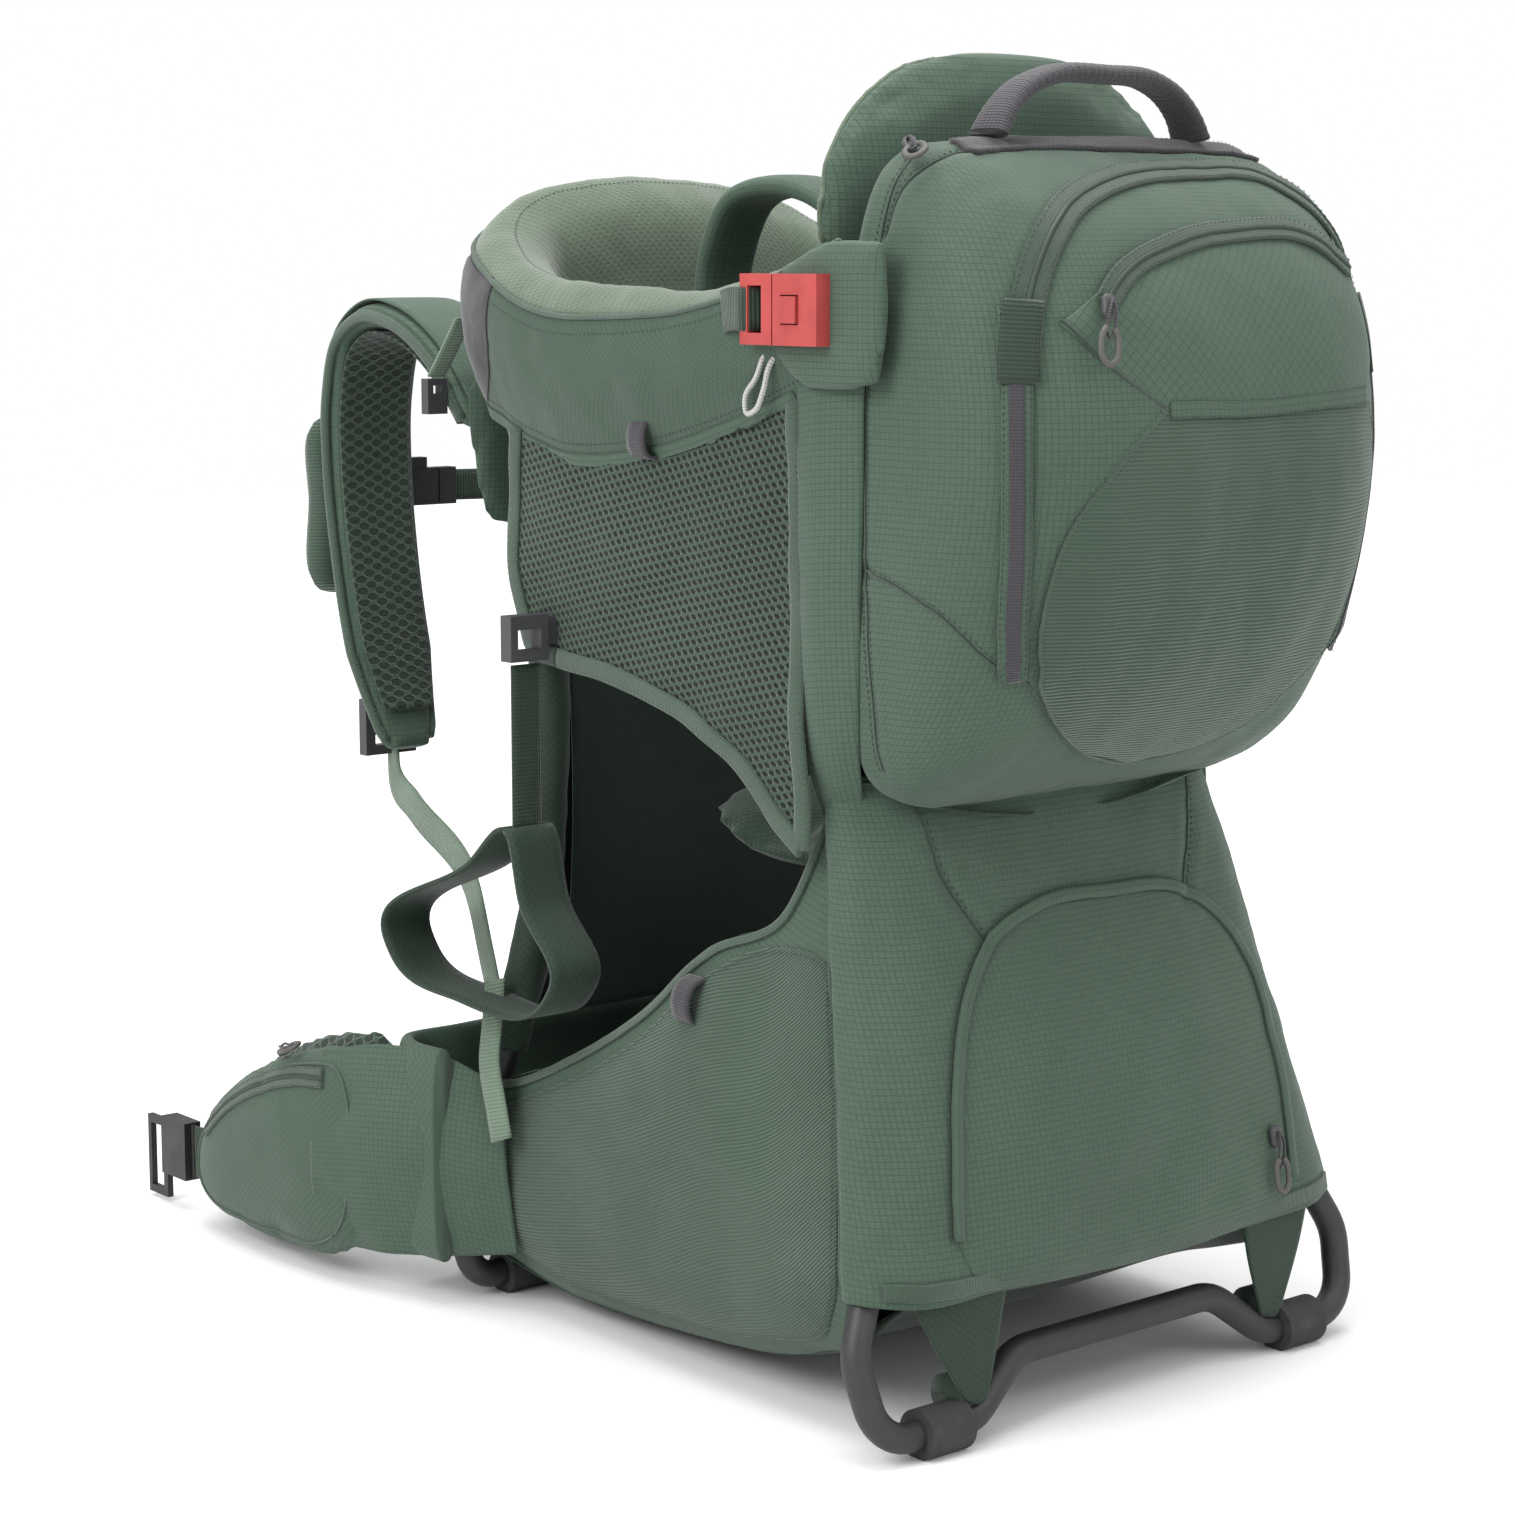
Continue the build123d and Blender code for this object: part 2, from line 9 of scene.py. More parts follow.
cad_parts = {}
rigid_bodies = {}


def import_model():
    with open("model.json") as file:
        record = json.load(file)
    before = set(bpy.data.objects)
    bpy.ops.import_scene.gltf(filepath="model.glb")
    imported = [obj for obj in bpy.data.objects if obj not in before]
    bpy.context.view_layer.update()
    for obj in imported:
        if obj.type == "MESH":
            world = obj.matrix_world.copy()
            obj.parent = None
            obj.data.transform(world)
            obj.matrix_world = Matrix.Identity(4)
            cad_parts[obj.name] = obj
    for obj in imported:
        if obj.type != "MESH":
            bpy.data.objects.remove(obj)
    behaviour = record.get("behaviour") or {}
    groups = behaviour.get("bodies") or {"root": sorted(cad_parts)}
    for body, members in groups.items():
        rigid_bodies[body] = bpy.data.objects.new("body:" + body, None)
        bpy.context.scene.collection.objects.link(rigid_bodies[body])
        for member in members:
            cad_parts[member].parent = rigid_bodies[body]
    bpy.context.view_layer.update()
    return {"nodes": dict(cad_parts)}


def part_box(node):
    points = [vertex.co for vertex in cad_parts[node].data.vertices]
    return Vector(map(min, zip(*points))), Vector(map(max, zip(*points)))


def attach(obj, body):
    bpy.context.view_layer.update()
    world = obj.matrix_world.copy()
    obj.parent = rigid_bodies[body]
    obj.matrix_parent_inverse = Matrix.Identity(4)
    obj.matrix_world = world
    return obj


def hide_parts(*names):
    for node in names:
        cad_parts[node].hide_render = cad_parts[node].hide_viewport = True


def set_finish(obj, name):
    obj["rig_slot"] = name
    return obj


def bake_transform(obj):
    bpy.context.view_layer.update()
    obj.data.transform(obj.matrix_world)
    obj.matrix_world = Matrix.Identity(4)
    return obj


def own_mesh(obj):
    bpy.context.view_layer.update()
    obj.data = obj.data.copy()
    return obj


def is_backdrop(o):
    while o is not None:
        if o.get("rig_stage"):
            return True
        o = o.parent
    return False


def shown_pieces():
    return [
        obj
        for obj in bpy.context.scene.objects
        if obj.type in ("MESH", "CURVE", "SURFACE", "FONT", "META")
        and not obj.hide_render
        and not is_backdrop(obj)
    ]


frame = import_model()
nodes = frame["nodes"]

# Lengths below are millimetres from the middle of the kickstand feet on the floor:
# x to the wearer's right, y forward to the wearer, z up.
MM = 0.001
feet_low, feet_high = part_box("rear_feet")
FEET_Y = (feet_low.y + feet_high.y) / 2
LEAN = 98 / 359.5            # the kickstand's lean, forward over up
FOOT_Z = 12.5                # height of the kickstand's tube centre at its feet
ARM_FOOT_X = 167.0           # a kickstand arm's distance from the middle, at its foot ...
ARM_SLOPE = 0.1755           # ... and how fast it closes in, per millimetre up the lean


def metres(points):
    """Points in millimetres, as metres in the row's frame."""
    out = np.asarray(points, float) * MM
    out[..., 1] += FEET_Y
    return out


def at(x, y, z):
    return Vector(metres([x, y, z]))


def arm(z):
    """The centre (distance from the middle, y) of a kickstand arm at a height."""
    up = (z - FOOT_Z) * math.hypot(1, LEAN)
    return max(116.0, ARM_FOOT_X - (up - 82) * ARM_SLOPE), (z - FOOT_Z) * LEAN


# ---------------------------------------------------------------- lines and surfaces
def spline(points, count, closed=False):
    """count points along a smooth line through points, or through rows of points."""
    p = np.asarray(points, float)
    if closed:
        p = np.concatenate([p[-2:], p, p[:3]])
    gaps = np.linalg.norm(np.diff(p, axis=0), axis=-1)
    if gaps.ndim > 1:
        gaps = gaps.mean(axis=tuple(range(1, gaps.ndim)))
    gaps = np.maximum(gaps, 1e-6)
    shape = (-1,) + (1,) * (p.ndim - 1)
    chord = np.diff(p, axis=0) / gaps.reshape(shape)
    slope = np.empty_like(p)
    before = gaps[:-1].reshape(shape)
    after = gaps[1:].reshape(shape)
    slope[1:-1] = (chord[1:] * before + chord[:-1] * after) / (before + after)
    slope[0] = chord[0]
    slope[-1] = chord[-1]
    knots = np.r_[0, np.cumsum(gaps)]
    start, end = (knots[2], knots[-3]) if closed else (0, knots[-1])
    s = np.linspace(start, end, count + int(closed))[:count]
    i = np.clip(np.searchsorted(knots, s, side="right") - 1, 0, len(gaps) - 1)
    h = gaps[i].reshape(shape)
    t = ((s - knots[i]) / gaps[i]).reshape(shape)
    keep = (2 * t**3 - 3 * t**2 + 1) * p[i] + (t**3 - 2 * t**2 + t) * h * slope[i]
    return keep + (3 * t**2 - 2 * t**3) * p[i + 1] + (t**3 - t**2) * h * slope[i + 1]


def even(line, count, closed=False):
    """The same line as count evenly spaced points."""
    p = np.asarray(line, float)
    if closed:
        p = np.concatenate([p, p[:1]])
    along = np.r_[0, np.cumsum(np.linalg.norm(np.diff(p, axis=0), axis=1))]
    s = np.linspace(0, along[-1], count + int(closed))[:count]
    return np.stack([np.interp(s, along, p[:, k]) for k in range(p.shape[1])], 1)


def smooth(points, count, closed=False):
    return even(spline(points, 16 * len(points), closed), count, closed)


def length_of(line):
    return float(np.linalg.norm(np.diff(np.asarray(line, float), axis=0), axis=1).sum())


def loft(rows, across, up):
    """A grid through rows of control points: across columns and up rows."""
    return spline([smooth(row, across) for row in rows], up)


def flip_x(points):
    out = np.array(points, float)
    out[..., 0] *= -1
    return out


def both(row):
    """A row from the left edge to the middle, carried on to the right edge."""
    row = [tuple(p) for p in row]
    return row + [(-x, y, z) for x, y, z in row[-2::-1]]


def coons(bottom, top, left, right, across, up, bulge=(0, 0, 0), power=1.0):
    """A patch between four lines; bottom and top run left to right, the sides run up."""
    b = smooth(bottom, across)
    t = smooth(top, across)
    lf = smooth(left, up)
    r = smooth(right, up)
    u = np.linspace(0, 1, across)[None, :, None]
    v = np.linspace(0, 1, up)[:, None, None]
    grid = (1 - v) * b[None] + v * t[None] + (1 - u) * lf[:, None] + u * r[:, None]
    grid -= (1 - u) * (1 - v) * b[0] + u * (1 - v) * b[-1] + (1 - u) * v * t[0] + u * v * t[-1]
    swell = (16 * u * (1 - u) * v * (1 - v)) ** power
    return grid + swell * np.asarray(bulge, float)


def grid_normals(grid, closed=False):
    du = np.gradient(grid, axis=1)
    if closed:
        du = (np.roll(grid, -1, axis=1) - np.roll(grid, 1, axis=1)) / 2
    dv = np.gradient(grid, axis=0)
    n = np.cross(du, dv)
    size = np.linalg.norm(n, axis=-1, keepdims=True)
    return n / np.maximum(size, 1e-9)


def creased(grid, amount, size, seed=0.0, stretch=(1, 1, 1), closed=False):
    """The grid with soft wrinkles of that height and size, in millimetres."""
    n = grid_normals(grid, closed)
    flat = grid.reshape(-1, 3)
    scale = np.array(stretch, float) / size
    moves = np.empty(len(flat))
    for k, p in enumerate(flat * scale + seed):
        v = Vector(p)
        moves[k] = noise.noise(v) + 0.5 * noise.noise(v * 2.1)
    return grid + n * (moves * amount).reshape(grid.shape[:2] + (1,))


def distance_to(points, line):
    """How far each point is from a line of points."""
    line = np.asarray(line, float)
    best = np.full(points.shape[:-1], 1e9)
    a, b = line[:-1], line[1:]
    for p, q in zip(a, b):
        d = q - p
        t = np.clip(((points - p) @ d) / max(d @ d, 1e-9), 0, 1)
        best = np.minimum(best, np.linalg.norm(points - p - t[..., None] * d, axis=-1))
    return best


def seamed(grid, lines, depth=1.2, width=3.5, closed=False):
    """The grid pulled in along seams, with a slight swell beside them."""
    n = grid_normals(grid, closed)
    for line in lines:
        d = distance_to(grid, smooth(line, 40)) / width
        dip = np.exp(-(d**2)) - 0.35 * np.exp(-((d - 2.2) ** 2))
        grid = grid - n * (depth * dip)[..., None]
    return grid


# ---------------------------------------------------------------- meshes
def make_object(name, vertices, faces, uvs=None, material=None):
    """A smooth-shaded mesh from points in metres; uvs has one pair for each vertex."""
    mesh = bpy.data.meshes.new(name)
    mesh.from_pydata([tuple(v) for v in vertices], [], [tuple(f) for f in faces])
    if uvs is not None:
        layer = mesh.uv_layers.new(name="UVMap")
        loops = np.empty(len(mesh.loops), int)
        mesh.loops.foreach_get("vertex_index", loops)
        layer.data.foreach_set("uv", np.asarray(uvs, float)[loops].ravel())
    mesh.polygons.foreach_set("use_smooth", [True] * len(mesh.polygons))
    if material is not None:
        mesh.materials.append(material)
    mesh.update()
    obj = bpy.data.objects.new(name, mesh)
    bpy.context.scene.collection.objects.link(obj)
    return obj


def settle(obj):
    """Applies the object's modifiers to its mesh."""
    graph = bpy.context.evaluated_depsgraph_get()
    mesh = bpy.data.meshes.new_from_object(obj.evaluated_get(graph))
    obj.modifiers.clear()
    obj.data = mesh
    return obj


def grid_faces(rows, columns, closed=False):
    r = np.arange(rows - 1)[:, None] * columns
    c = np.arange(columns if closed else columns - 1)[None, :]
    following = (c + 1) % columns
    quads = np.stack([r + c, r + following, r + columns + following, r + columns + c], -1)
    return quads.reshape(-1, 4)


def grid_uvs(grid):
    """Distances along the rows and columns, in metres, measured from the middle."""
    rows, columns = grid.shape[:2]
    across = np.linalg.norm(np.diff(grid, axis=1), axis=-1)
    across = np.concatenate([np.zeros((rows, 1)), np.cumsum(across, axis=1)], 1)
    across -= across[:, columns // 2][:, None]
    up = np.linalg.norm(np.diff(grid, axis=0), axis=-1)
    up = np.concatenate([np.zeros((1, columns)), np.cumsum(up, axis=0)], 0)
    up -= up[rows // 2][None, :]
    return np.stack([across, up], -1).reshape(-1, 2) * MM


def cloth_piece(name, grid, material, body, thick=1.2, closed=False, outward=1.0):
    """A sewn panel from a grid in millimetres, with real thickness and a turned edge."""
    rows, columns = grid.shape[:2]
    n = grid_normals(grid, closed) * outward
    outer = grid.reshape(-1, 3)
    inner = (grid - n * thick).reshape(-1, 3)
    count = rows * columns
    front = grid_faces(rows, columns, closed)
    faces = [list(f) for f in front] + [list(f[::-1] + count) for f in front]
    index = np.arange(count).reshape(rows, columns)
    rims = [index[0], index[-1][::-1]]
    if closed:
        rims = [np.r_[index[0], index[0][:1]], np.r_[index[-1][::-1], index[-1][-1:]]]
    else:
        rims += [index[:, -1], index[::-1, 0]]
    for rim in rims:
        for a, b in zip(rim[:-1], rim[1:]):
            faces.append([b, a, a + count, b + count])
    if outward < 0:
        faces = [f[::-1] for f in faces]
    uvs = grid_uvs(grid)
    obj = make_object(name, metres(np.concatenate([outer, inner])), faces, np.tile(uvs, (2, 1)), material)
    if body:
        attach(obj, body)
    return obj


def tube_grid(line, radius, sides=10, flat=1.0, up=(0, 0, 1), superness=2.0):
    """Rings round a line of points; flat squeezes each ring along up."""
    line = np.asarray(line, float)
    along = np.gradient(line, axis=0)
    along /= np.maximum(np.linalg.norm(along, axis=1, keepdims=True), 1e-9)
    normal = np.tile(np.asarray(up, float), (len(line), 1)) if np.ndim(up) == 1 else np.asarray(up, float)
    normal = normal - along * np.sum(normal * along, axis=1, keepdims=True)
    normal /= np.maximum(np.linalg.norm(normal, axis=1, keepdims=True), 1e-9)
    side = np.cross(normal, along)
    a = np.linspace(0, 2 * math.pi, sides, endpoint=False)
    c = np.sign(np.cos(a)) * np.abs(np.cos(a)) ** (2 / superness)
    s = np.sign(np.sin(a)) * np.abs(np.sin(a)) ** (2 / superness)
    radius = np.broadcast_to(np.asarray(radius, float), (len(line),))[:, None, None]
    flat = np.broadcast_to(np.asarray(flat, float), (len(line),))[:, None, None]
    return line[:, None] + radius * (c[None, :, None] * side[:, None] + flat * s[None, :, None] * normal[
        :, None])


def ring_piece(name, grid, material, body, surface_uvs=False):
    """A closed tube or shell from rings in millimetres, with its ends filled in."""
    rows, sides = grid.shape[:2]
    faces = [list(f) for f in grid_faces(rows, sides, True)]
    vertices = grid.reshape(-1, 3)
    centres = np.stack([grid[0].mean(0), grid[-1].mean(0)])
    first, last = rows * sides, rows * sides + 1
    for k in range(sides):
        following = (k + 1) % sides
        faces.append([following, k, first])
        faces.append([(rows - 1) * sides + k, (rows - 1) * sides + following, last])
    middle = grid.mean(1)
    along = np.r_[0, np.cumsum(np.linalg.norm(np.diff(middle, axis=0), axis=1))]
    round_ = np.linalg.norm(np.roll(grid, -1, axis=1) - grid, axis=-1).mean(0)
    round_ = np.cumsum(round_) - round_.sum() / 2
    uv = np.stack(np.broadcast_arrays(round_[None, :], along[:, None]), -1).reshape(-1, 2)
    if surface_uvs:
        uv = grid_uvs(grid) / MM
    uv = np.concatenate([uv, [uv[0], uv[-1]]]) * MM
    obj = make_object(name, metres(np.concatenate([vertices, centres])), faces, uv, material)
    if body:
        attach(obj, body)
    return obj


class Surface:
    """A grid as something to lay seams, tapes and pockets on."""

    def __init__(self, grid, closed=False, outward=1.0):
        rows, columns = grid.shape[:2]
        self.points = grid.reshape(-1, 3)
        self.normals = (grid_normals(grid, closed) * outward).reshape(-1, 3)
        self.uvs = grid_uvs(grid)
        quads = grid_faces(rows, columns, closed)
        self.triangles = np.concatenate([quads[:, [0, 1, 2]], quads[:, [0, 2, 3]]])
        self.tree = BVHTree.FromPolygons(
            [tuple(p) for p in self.points], [tuple(int(i) for i in t) for t in self.triangles]
        )

    def touch(self, point):
        """The nearest place on the surface, its outward normal and its uv."""
        place, _, face, _ = self.tree.find_nearest(Vector(point))
        place = np.array(place)
        t = self.triangles[face]
        a, b, c = self.points[t]
        v0, v1, v2 = b - a, c - a, place - a
        d00, d01, d11 = v0 @ v0, v0 @ v1, v1 @ v1
        d20, d21 = v2 @ v0, v2 @ v1
        bottom = max(d00 * d11 - d01 * d01, 1e-12)
        v = (d11 * d20 - d01 * d21) / bottom
        w = (d00 * d21 - d01 * d20) / bottom
        weights = np.array([1 - v - w, v, w])
        normal = weights @ self.normals[t]
        return place, normal / max(np.linalg.norm(normal), 1e-9), weights @ self.uvs[t]

    def lay(self, points, lift=0.0):
        """Points moved onto the surface and lifted, with their normals and uvs."""
        shape = np.asarray(points).shape[:-1]
        found = [self.touch(p) for p in np.asarray(points, float).reshape(-1, 3)]
        place = np.array([f[0] for f in found])
        normal = np.array([f[1] for f in found])
        uv = np.array([f[2] for f in found])
        place = place + normal * np.broadcast_to(lift, shape).reshape(-1, 1)
        return place.reshape(shape + (3,)), normal.reshape(shape + (3,)), uv.reshape(shape + (2,))


class MeshSurface(Surface):
    """A finished pad as something to lay seams and zips on."""

    def __init__(self, obj):
        mesh = obj.data
        mesh.calc_loop_triangles()
        points = np.array([v.co[:] for v in mesh.vertices]) / MM
        self.points = points - (0, FEET_Y / MM, 0)
        self.normals = np.array([v.normal[:] for v in mesh.vertices])
        self.uvs = self.points[:, :2] * MM
        self.triangles = np.array([t.vertices[:] for t in mesh.loop_triangles])
        self.tree = BVHTree.FromPolygons(
            [tuple(p) for p in self.points], [tuple(int(i) for i in t) for t in self.triangles]
        )


def on_surface(base, points, count, closed=False, lift=0.0):
    """An evenly spaced line laid on a surface, and its normals."""
    line, _, _ = base.lay(smooth(points, count, closed))
    line = even(line, count, closed)
    place, normal, _ = base.lay(line, lift)
    return place, normal


def tape(name, base, points, width, material, body, thick=0.8, lift=0.0, count=None, crown=0.0):
    """A flat tape along a line on a surface."""
    count = count or max(6, int(length_of(smooth(points, 60)) / 3.5))
    line, normal = on_surface(base, points, count)
    along = np.gradient(line, axis=0)
    side = np.cross(normal, along)
    side /= np.maximum(np.linalg.norm(side, axis=1, keepdims=True), 1e-9)
    offsets = np.linspace(-0.5, 0.5, 7)
    width = np.broadcast_to(width, (count,))
    rows = line[:, None] + side[:, None] * (width[:, None] * offsets[None])[..., None]
    top_lift = lift + thick + crown * (1 - (2 * offsets) ** 2)
    grid, _, _ = base.lay(rows, np.broadcast_to(top_lift, rows.shape[:2]))
    return cloth_piece(name, grid, material, body, thick + 0.5, outward=-1.0)


def piping(name, base, points, radius, material, body, lift=0.3, closed=False):
    count = max(8, int(length_of(smooth(points, 60, closed)) / 3))
    line, normal = on_surface(base, points, count, closed, lift)
    if closed:
        line = np.concatenate([line, line[:1]])
        normal = np.concatenate([normal, normal[:1]])
    grid = tube_grid(line, radius, 8, up=normal)
    return ring_piece(name, grid, material, body)


def ribbon(name, points, width, material, body, facing, thick=1.4, count=60):
    """Free webbing: its face looks along facing."""
    line = smooth(points, count)
    along = np.gradient(line, axis=0)
    side = np.cross(along, np.asarray(facing, float))
    side /= np.linalg.norm(side, axis=1, keepdims=True)
    grid = line[:, None] + side[:, None] * (np.linspace(-0.5, 0.5, 5) * width)[None, :, None]
    normals = grid_normals(grid)
    outward = 1.0 if np.sum(normals[count // 2, 2] * np.asarray(facing)) > 0 else -1.0
    return cloth_piece(name, grid, material, body, thick, outward=outward)


stitch_runs = {}


def stitches(group, base, points, offsets=(0,), closed=False, lift=0.25, pitch=3.4, dash=2.3, size=0.34):
    """Thread dashes along a line on a surface, kept by group until they are made."""
    count = max(8, int(length_of(smooth(points, 60, closed)) / pitch))
    line, normal = on_surface(base, points, count * 2, closed)
    along = np.gradient(line, axis=0)
    side = np.cross(normal, along)
    side /= np.maximum(np.linalg.norm(side, axis=1, keepdims=True), 1e-9)
    for offset in offsets:
        moved, normal2, _ = base.lay(line + side * offset, lift)
        for k in range(0, len(moved) - 1, 2):
            d = moved[k + 1] - moved[k]
            reach = max(np.linalg.norm(d), 1e-6)
            half = d / reach * min(dash, reach * 1.3) / 2
            middle = (moved[k] + moved[k + 1]) / 2
            stitch_runs.setdefault(group, []).append((middle - half, middle + half, normal2[k], size))


def make_stitches(group, material):
    """All the thread of one group as a single piece."""
    vertices, faces = [], []
    for start, end, normal, size in stitch_runs.pop(group, []):
        middle = (start + end) / 2 + normal * size * 0.7
        along = (end - start) / max(np.linalg.norm(end - start), 1e-9)
        side = np.cross(along, normal) * size
        up = normal * size
        first = len(vertices)
        ring = [side, up, -side]
        vertices += [start - up * 0.4]
        vertices += [start * 0.3 + middle * 0.7 + r for r in ring]
        vertices += [end * 0.3 + middle * 0.7 + r for r in ring]
        vertices += [end - up * 0.4]
        for k in range(2):
            faces.append([first, first + 2 + k, first + 1 + k])
            faces.append([first + 1 + k, first + 2 + k, first + 5 + k, first + 4 + k])
            faces.append([first + 7, first + 4 + k, first + 5 + k])
    uv = np.array(vertices)[:, [0, 2]] * MM
    return make_object("thread_" + group, metres(vertices), faces, uv, material)


def patch(name, base, outline, centre, material, body, lift=0.6, puff=2.0, rings=16, samples=None,
          edge=1.0, wrinkle=0.0, size=30.0, seed=0.0, curve=3.0, stretch=(1, 1, 1)):
    """A panel or pocket laid on a surface inside a closed outline, swollen in the middle."""
    outline = np.asarray(outline, float)
    samples = samples or max(24, int(length_of(np.concatenate([outline, outline[:1]])) / 5))
    rim = even(outline, samples, True)
    shares = np.r_[np.linspace(0.04, 0.94, rings), 0.975, 0.993, 1.0, 1.0]
    lifts = lift + puff * (1 - shares**curve)
    lifts[-2] = lift - 0.15 * edge
    lifts[-1] = -0.4
    centre = np.asarray(centre, float)
    points = centre + (rim[None] - centre) * shares[:, None, None]
    grid, normal, uv = base.lay(points, 0.0)
    if wrinkle:
        fade = (1 - shares**4) * wrinkle
        moves = [noise.noise(Vector(p * np.array(stretch) / size + seed)) for p in grid.reshape(-1, 3)]
        lifts = lifts[:, None] + np.array(moves).reshape(grid.shape[:2]) * fade[:, None]
    else:
        lifts = np.broadcast_to(lifts[:, None], grid.shape[:2])
    grid = grid + normal * lifts[..., None]
    middle, middle_normal, middle_uv = base.touch(centre)
    middle = middle + middle_normal * lifts[0].mean()
    faces = [list(f[::-1]) for f in grid_faces(len(shares), samples, True)]
    tip = len(shares) * samples
    faces += [[k, (k + 1) % samples, tip] for k in range(samples)]
    vertices = np.concatenate([grid.reshape(-1, 3), [middle]])
    uvs = np.concatenate([uv.reshape(-1, 2), [middle_uv]])
    # Faces look the way the surface does.
    a, b, c = vertices[faces[-1]]
    if np.dot(np.cross(b - a, c - a), middle_normal) < 0:
        faces = [f[::-1] for f in faces]
    obj = make_object(name, metres(vertices), faces, uvs, material)
    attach(obj, body)
    return obj


def pad_mesh(name, outline, depth, thickness, material, rings=12, edge=2.6, samples=None):
    """A closed crowned pad: a flat outline of points, swollen by thickness along depth."""
    outline = np.asarray(outline, float)
    samples = samples or max(28, int(length_of(np.concatenate([outline, outline[:1]])) / 5))
    rim = even(outline, samples, True)
    centre = rim.mean(0)
    depth = np.asarray(depth, float)
    shares = np.linspace(0.06, 1, rings)
    layers = []
    for side in (1, -1):
        heights = side * thickness / 2 * (1 - shares**edge) ** (1 / edge)
        grid = centre + (rim[None] - centre) * shares[:, None, None]
        layers.append(grid + heights[:, None, None] * depth)
    top = layers[0].reshape(-1, 3)
    bottom = layers[1][:-1].reshape(-1, 3)
    tips = np.stack([centre + depth * thickness / 2, centre - depth * thickness / 2])
    count = len(top)
    faces = [list(f) for f in grid_faces(rings, samples, True)]
    under = grid_faces(rings - 1, samples, True) + count
    faces += [list(f[::-1]) for f in under]
    edge_row = (rings - 1) * samples
    last_row = count + (rings - 2) * samples
    for k in range(samples):
        following = (k + 1) % samples
        faces.append([edge_row + following, edge_row + k, last_row + k, last_row + following])
    tip = count + len(bottom)
    for k in range(samples):
        following = (k + 1) % samples
        faces.append([following, k, tip])
        faces.append([count + k, count + following, tip + 1])
    vertices = np.concatenate([top, bottom, tips])
    obj = make_object(name, metres(vertices), faces, None, material)
    return outward_faces(obj)


def outward_faces(obj):
    """Turns a closed mesh's faces outward."""
    mesh = bmesh.new()
    mesh.from_mesh(obj.data)
    bmesh.ops.recalc_face_normals(mesh, faces=mesh.faces)
    mesh.to_mesh(obj.data)
    mesh.free()
    return obj


def plan_uvs(obj, u_axis, v_axis):
    """A uv map in metres from two directions, for a mesh that has lost its own."""
    mesh = obj.data
    layer = mesh.uv_layers.get("UVMap") or mesh.uv_layers.new(name="UVMap")
    co = np.empty(len(mesh.vertices) * 3)
    mesh.vertices.foreach_get("co", co)
    co = co.reshape(-1, 3)
    loops = np.empty(len(mesh.loops), int)
    mesh.loops.foreach_get("vertex_index", loops)
    uv = np.stack([co @ np.asarray(u_axis, float), co @ np.asarray(v_axis, float)], 1)
    layer.data.foreach_set("uv", uv[loops].ravel())


def stuff(obj, voxel=5.0, pressure=4.0, cap=8.0, steps=20):
    """Swells a closed pad as cloth under pressure, and keeps the result."""
    material = obj.data.materials[0]
    remesh = obj.modifiers.new("remesh", "REMESH")
    remesh.mode = "VOXEL"
    remesh.voxel_size = voxel * MM
    settle(obj)
    count = len(obj.data.vertices)
    rest = np.empty(count * 3)
    obj.data.vertices.foreach_get("co", rest)
    rest = rest.reshape(-1, 3)
    cloth = obj.modifiers.new("cloth", "CLOTH")
    cloth.settings.use_pressure = True
    cloth.settings.uniform_pressure_force = pressure
    cloth.settings.effector_weights.gravity = 0
    cloth.settings.quality = 5
    cloth.settings.tension_stiffness = 30
    cloth.settings.compression_stiffness = 30
    cloth.settings.bending_stiffness = 1.0
    scene = bpy.context.scene
    for step in range(1, steps + 1):
        scene.frame_set(step)
    settle(obj)
    scene.frame_set(1)
    moved = np.empty(count * 3)
    obj.data.vertices.foreach_get("co", moved)
    shift = moved.reshape(-1, 3) - rest
    size = np.linalg.norm(shift, axis=1, keepdims=True)
    shift *= np.minimum(1, cap * MM / np.maximum(size, 1e-9))
    obj.data.vertices.foreach_set("co", (rest + shift).ravel())
    obj.data.update()
    finer = obj.modifiers.new("finer", "SUBSURF")
    finer.levels = finer.render_levels = 1
    settle(obj)
    obj.data.materials.clear()
    obj.data.materials.append(material)
    obj.data.polygons.foreach_set("use_smooth", [True] * len(obj.data.polygons))
    return obj


# The directions that a pad's weave is laid out along.
FROM_THE_SIDE = ((0, 1, 0), (0, 0, 1))
FROM_BEHIND = ((1, 0, 0), (0, 0, 1))
FROM_ABOVE = ((1, 0, 0), (0, 1, 0))


def stands_for(obj, node=None, slot=None):
    """Hides the CAD node that a piece replaces, and gives the piece its finish."""
    if node:
        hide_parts(node)
    if slot:
        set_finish(obj, slot)


def finish_pad(obj, body, directions, swell=None, node=None, slot=None):
    """Stuffs and maps a pad, and says what it rides on and which CAD node it stands for."""
    if swell:
        stuff(obj, *swell)
    plan_uvs(obj, *directions)
    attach(obj, body)
    stands_for(obj, node, slot)


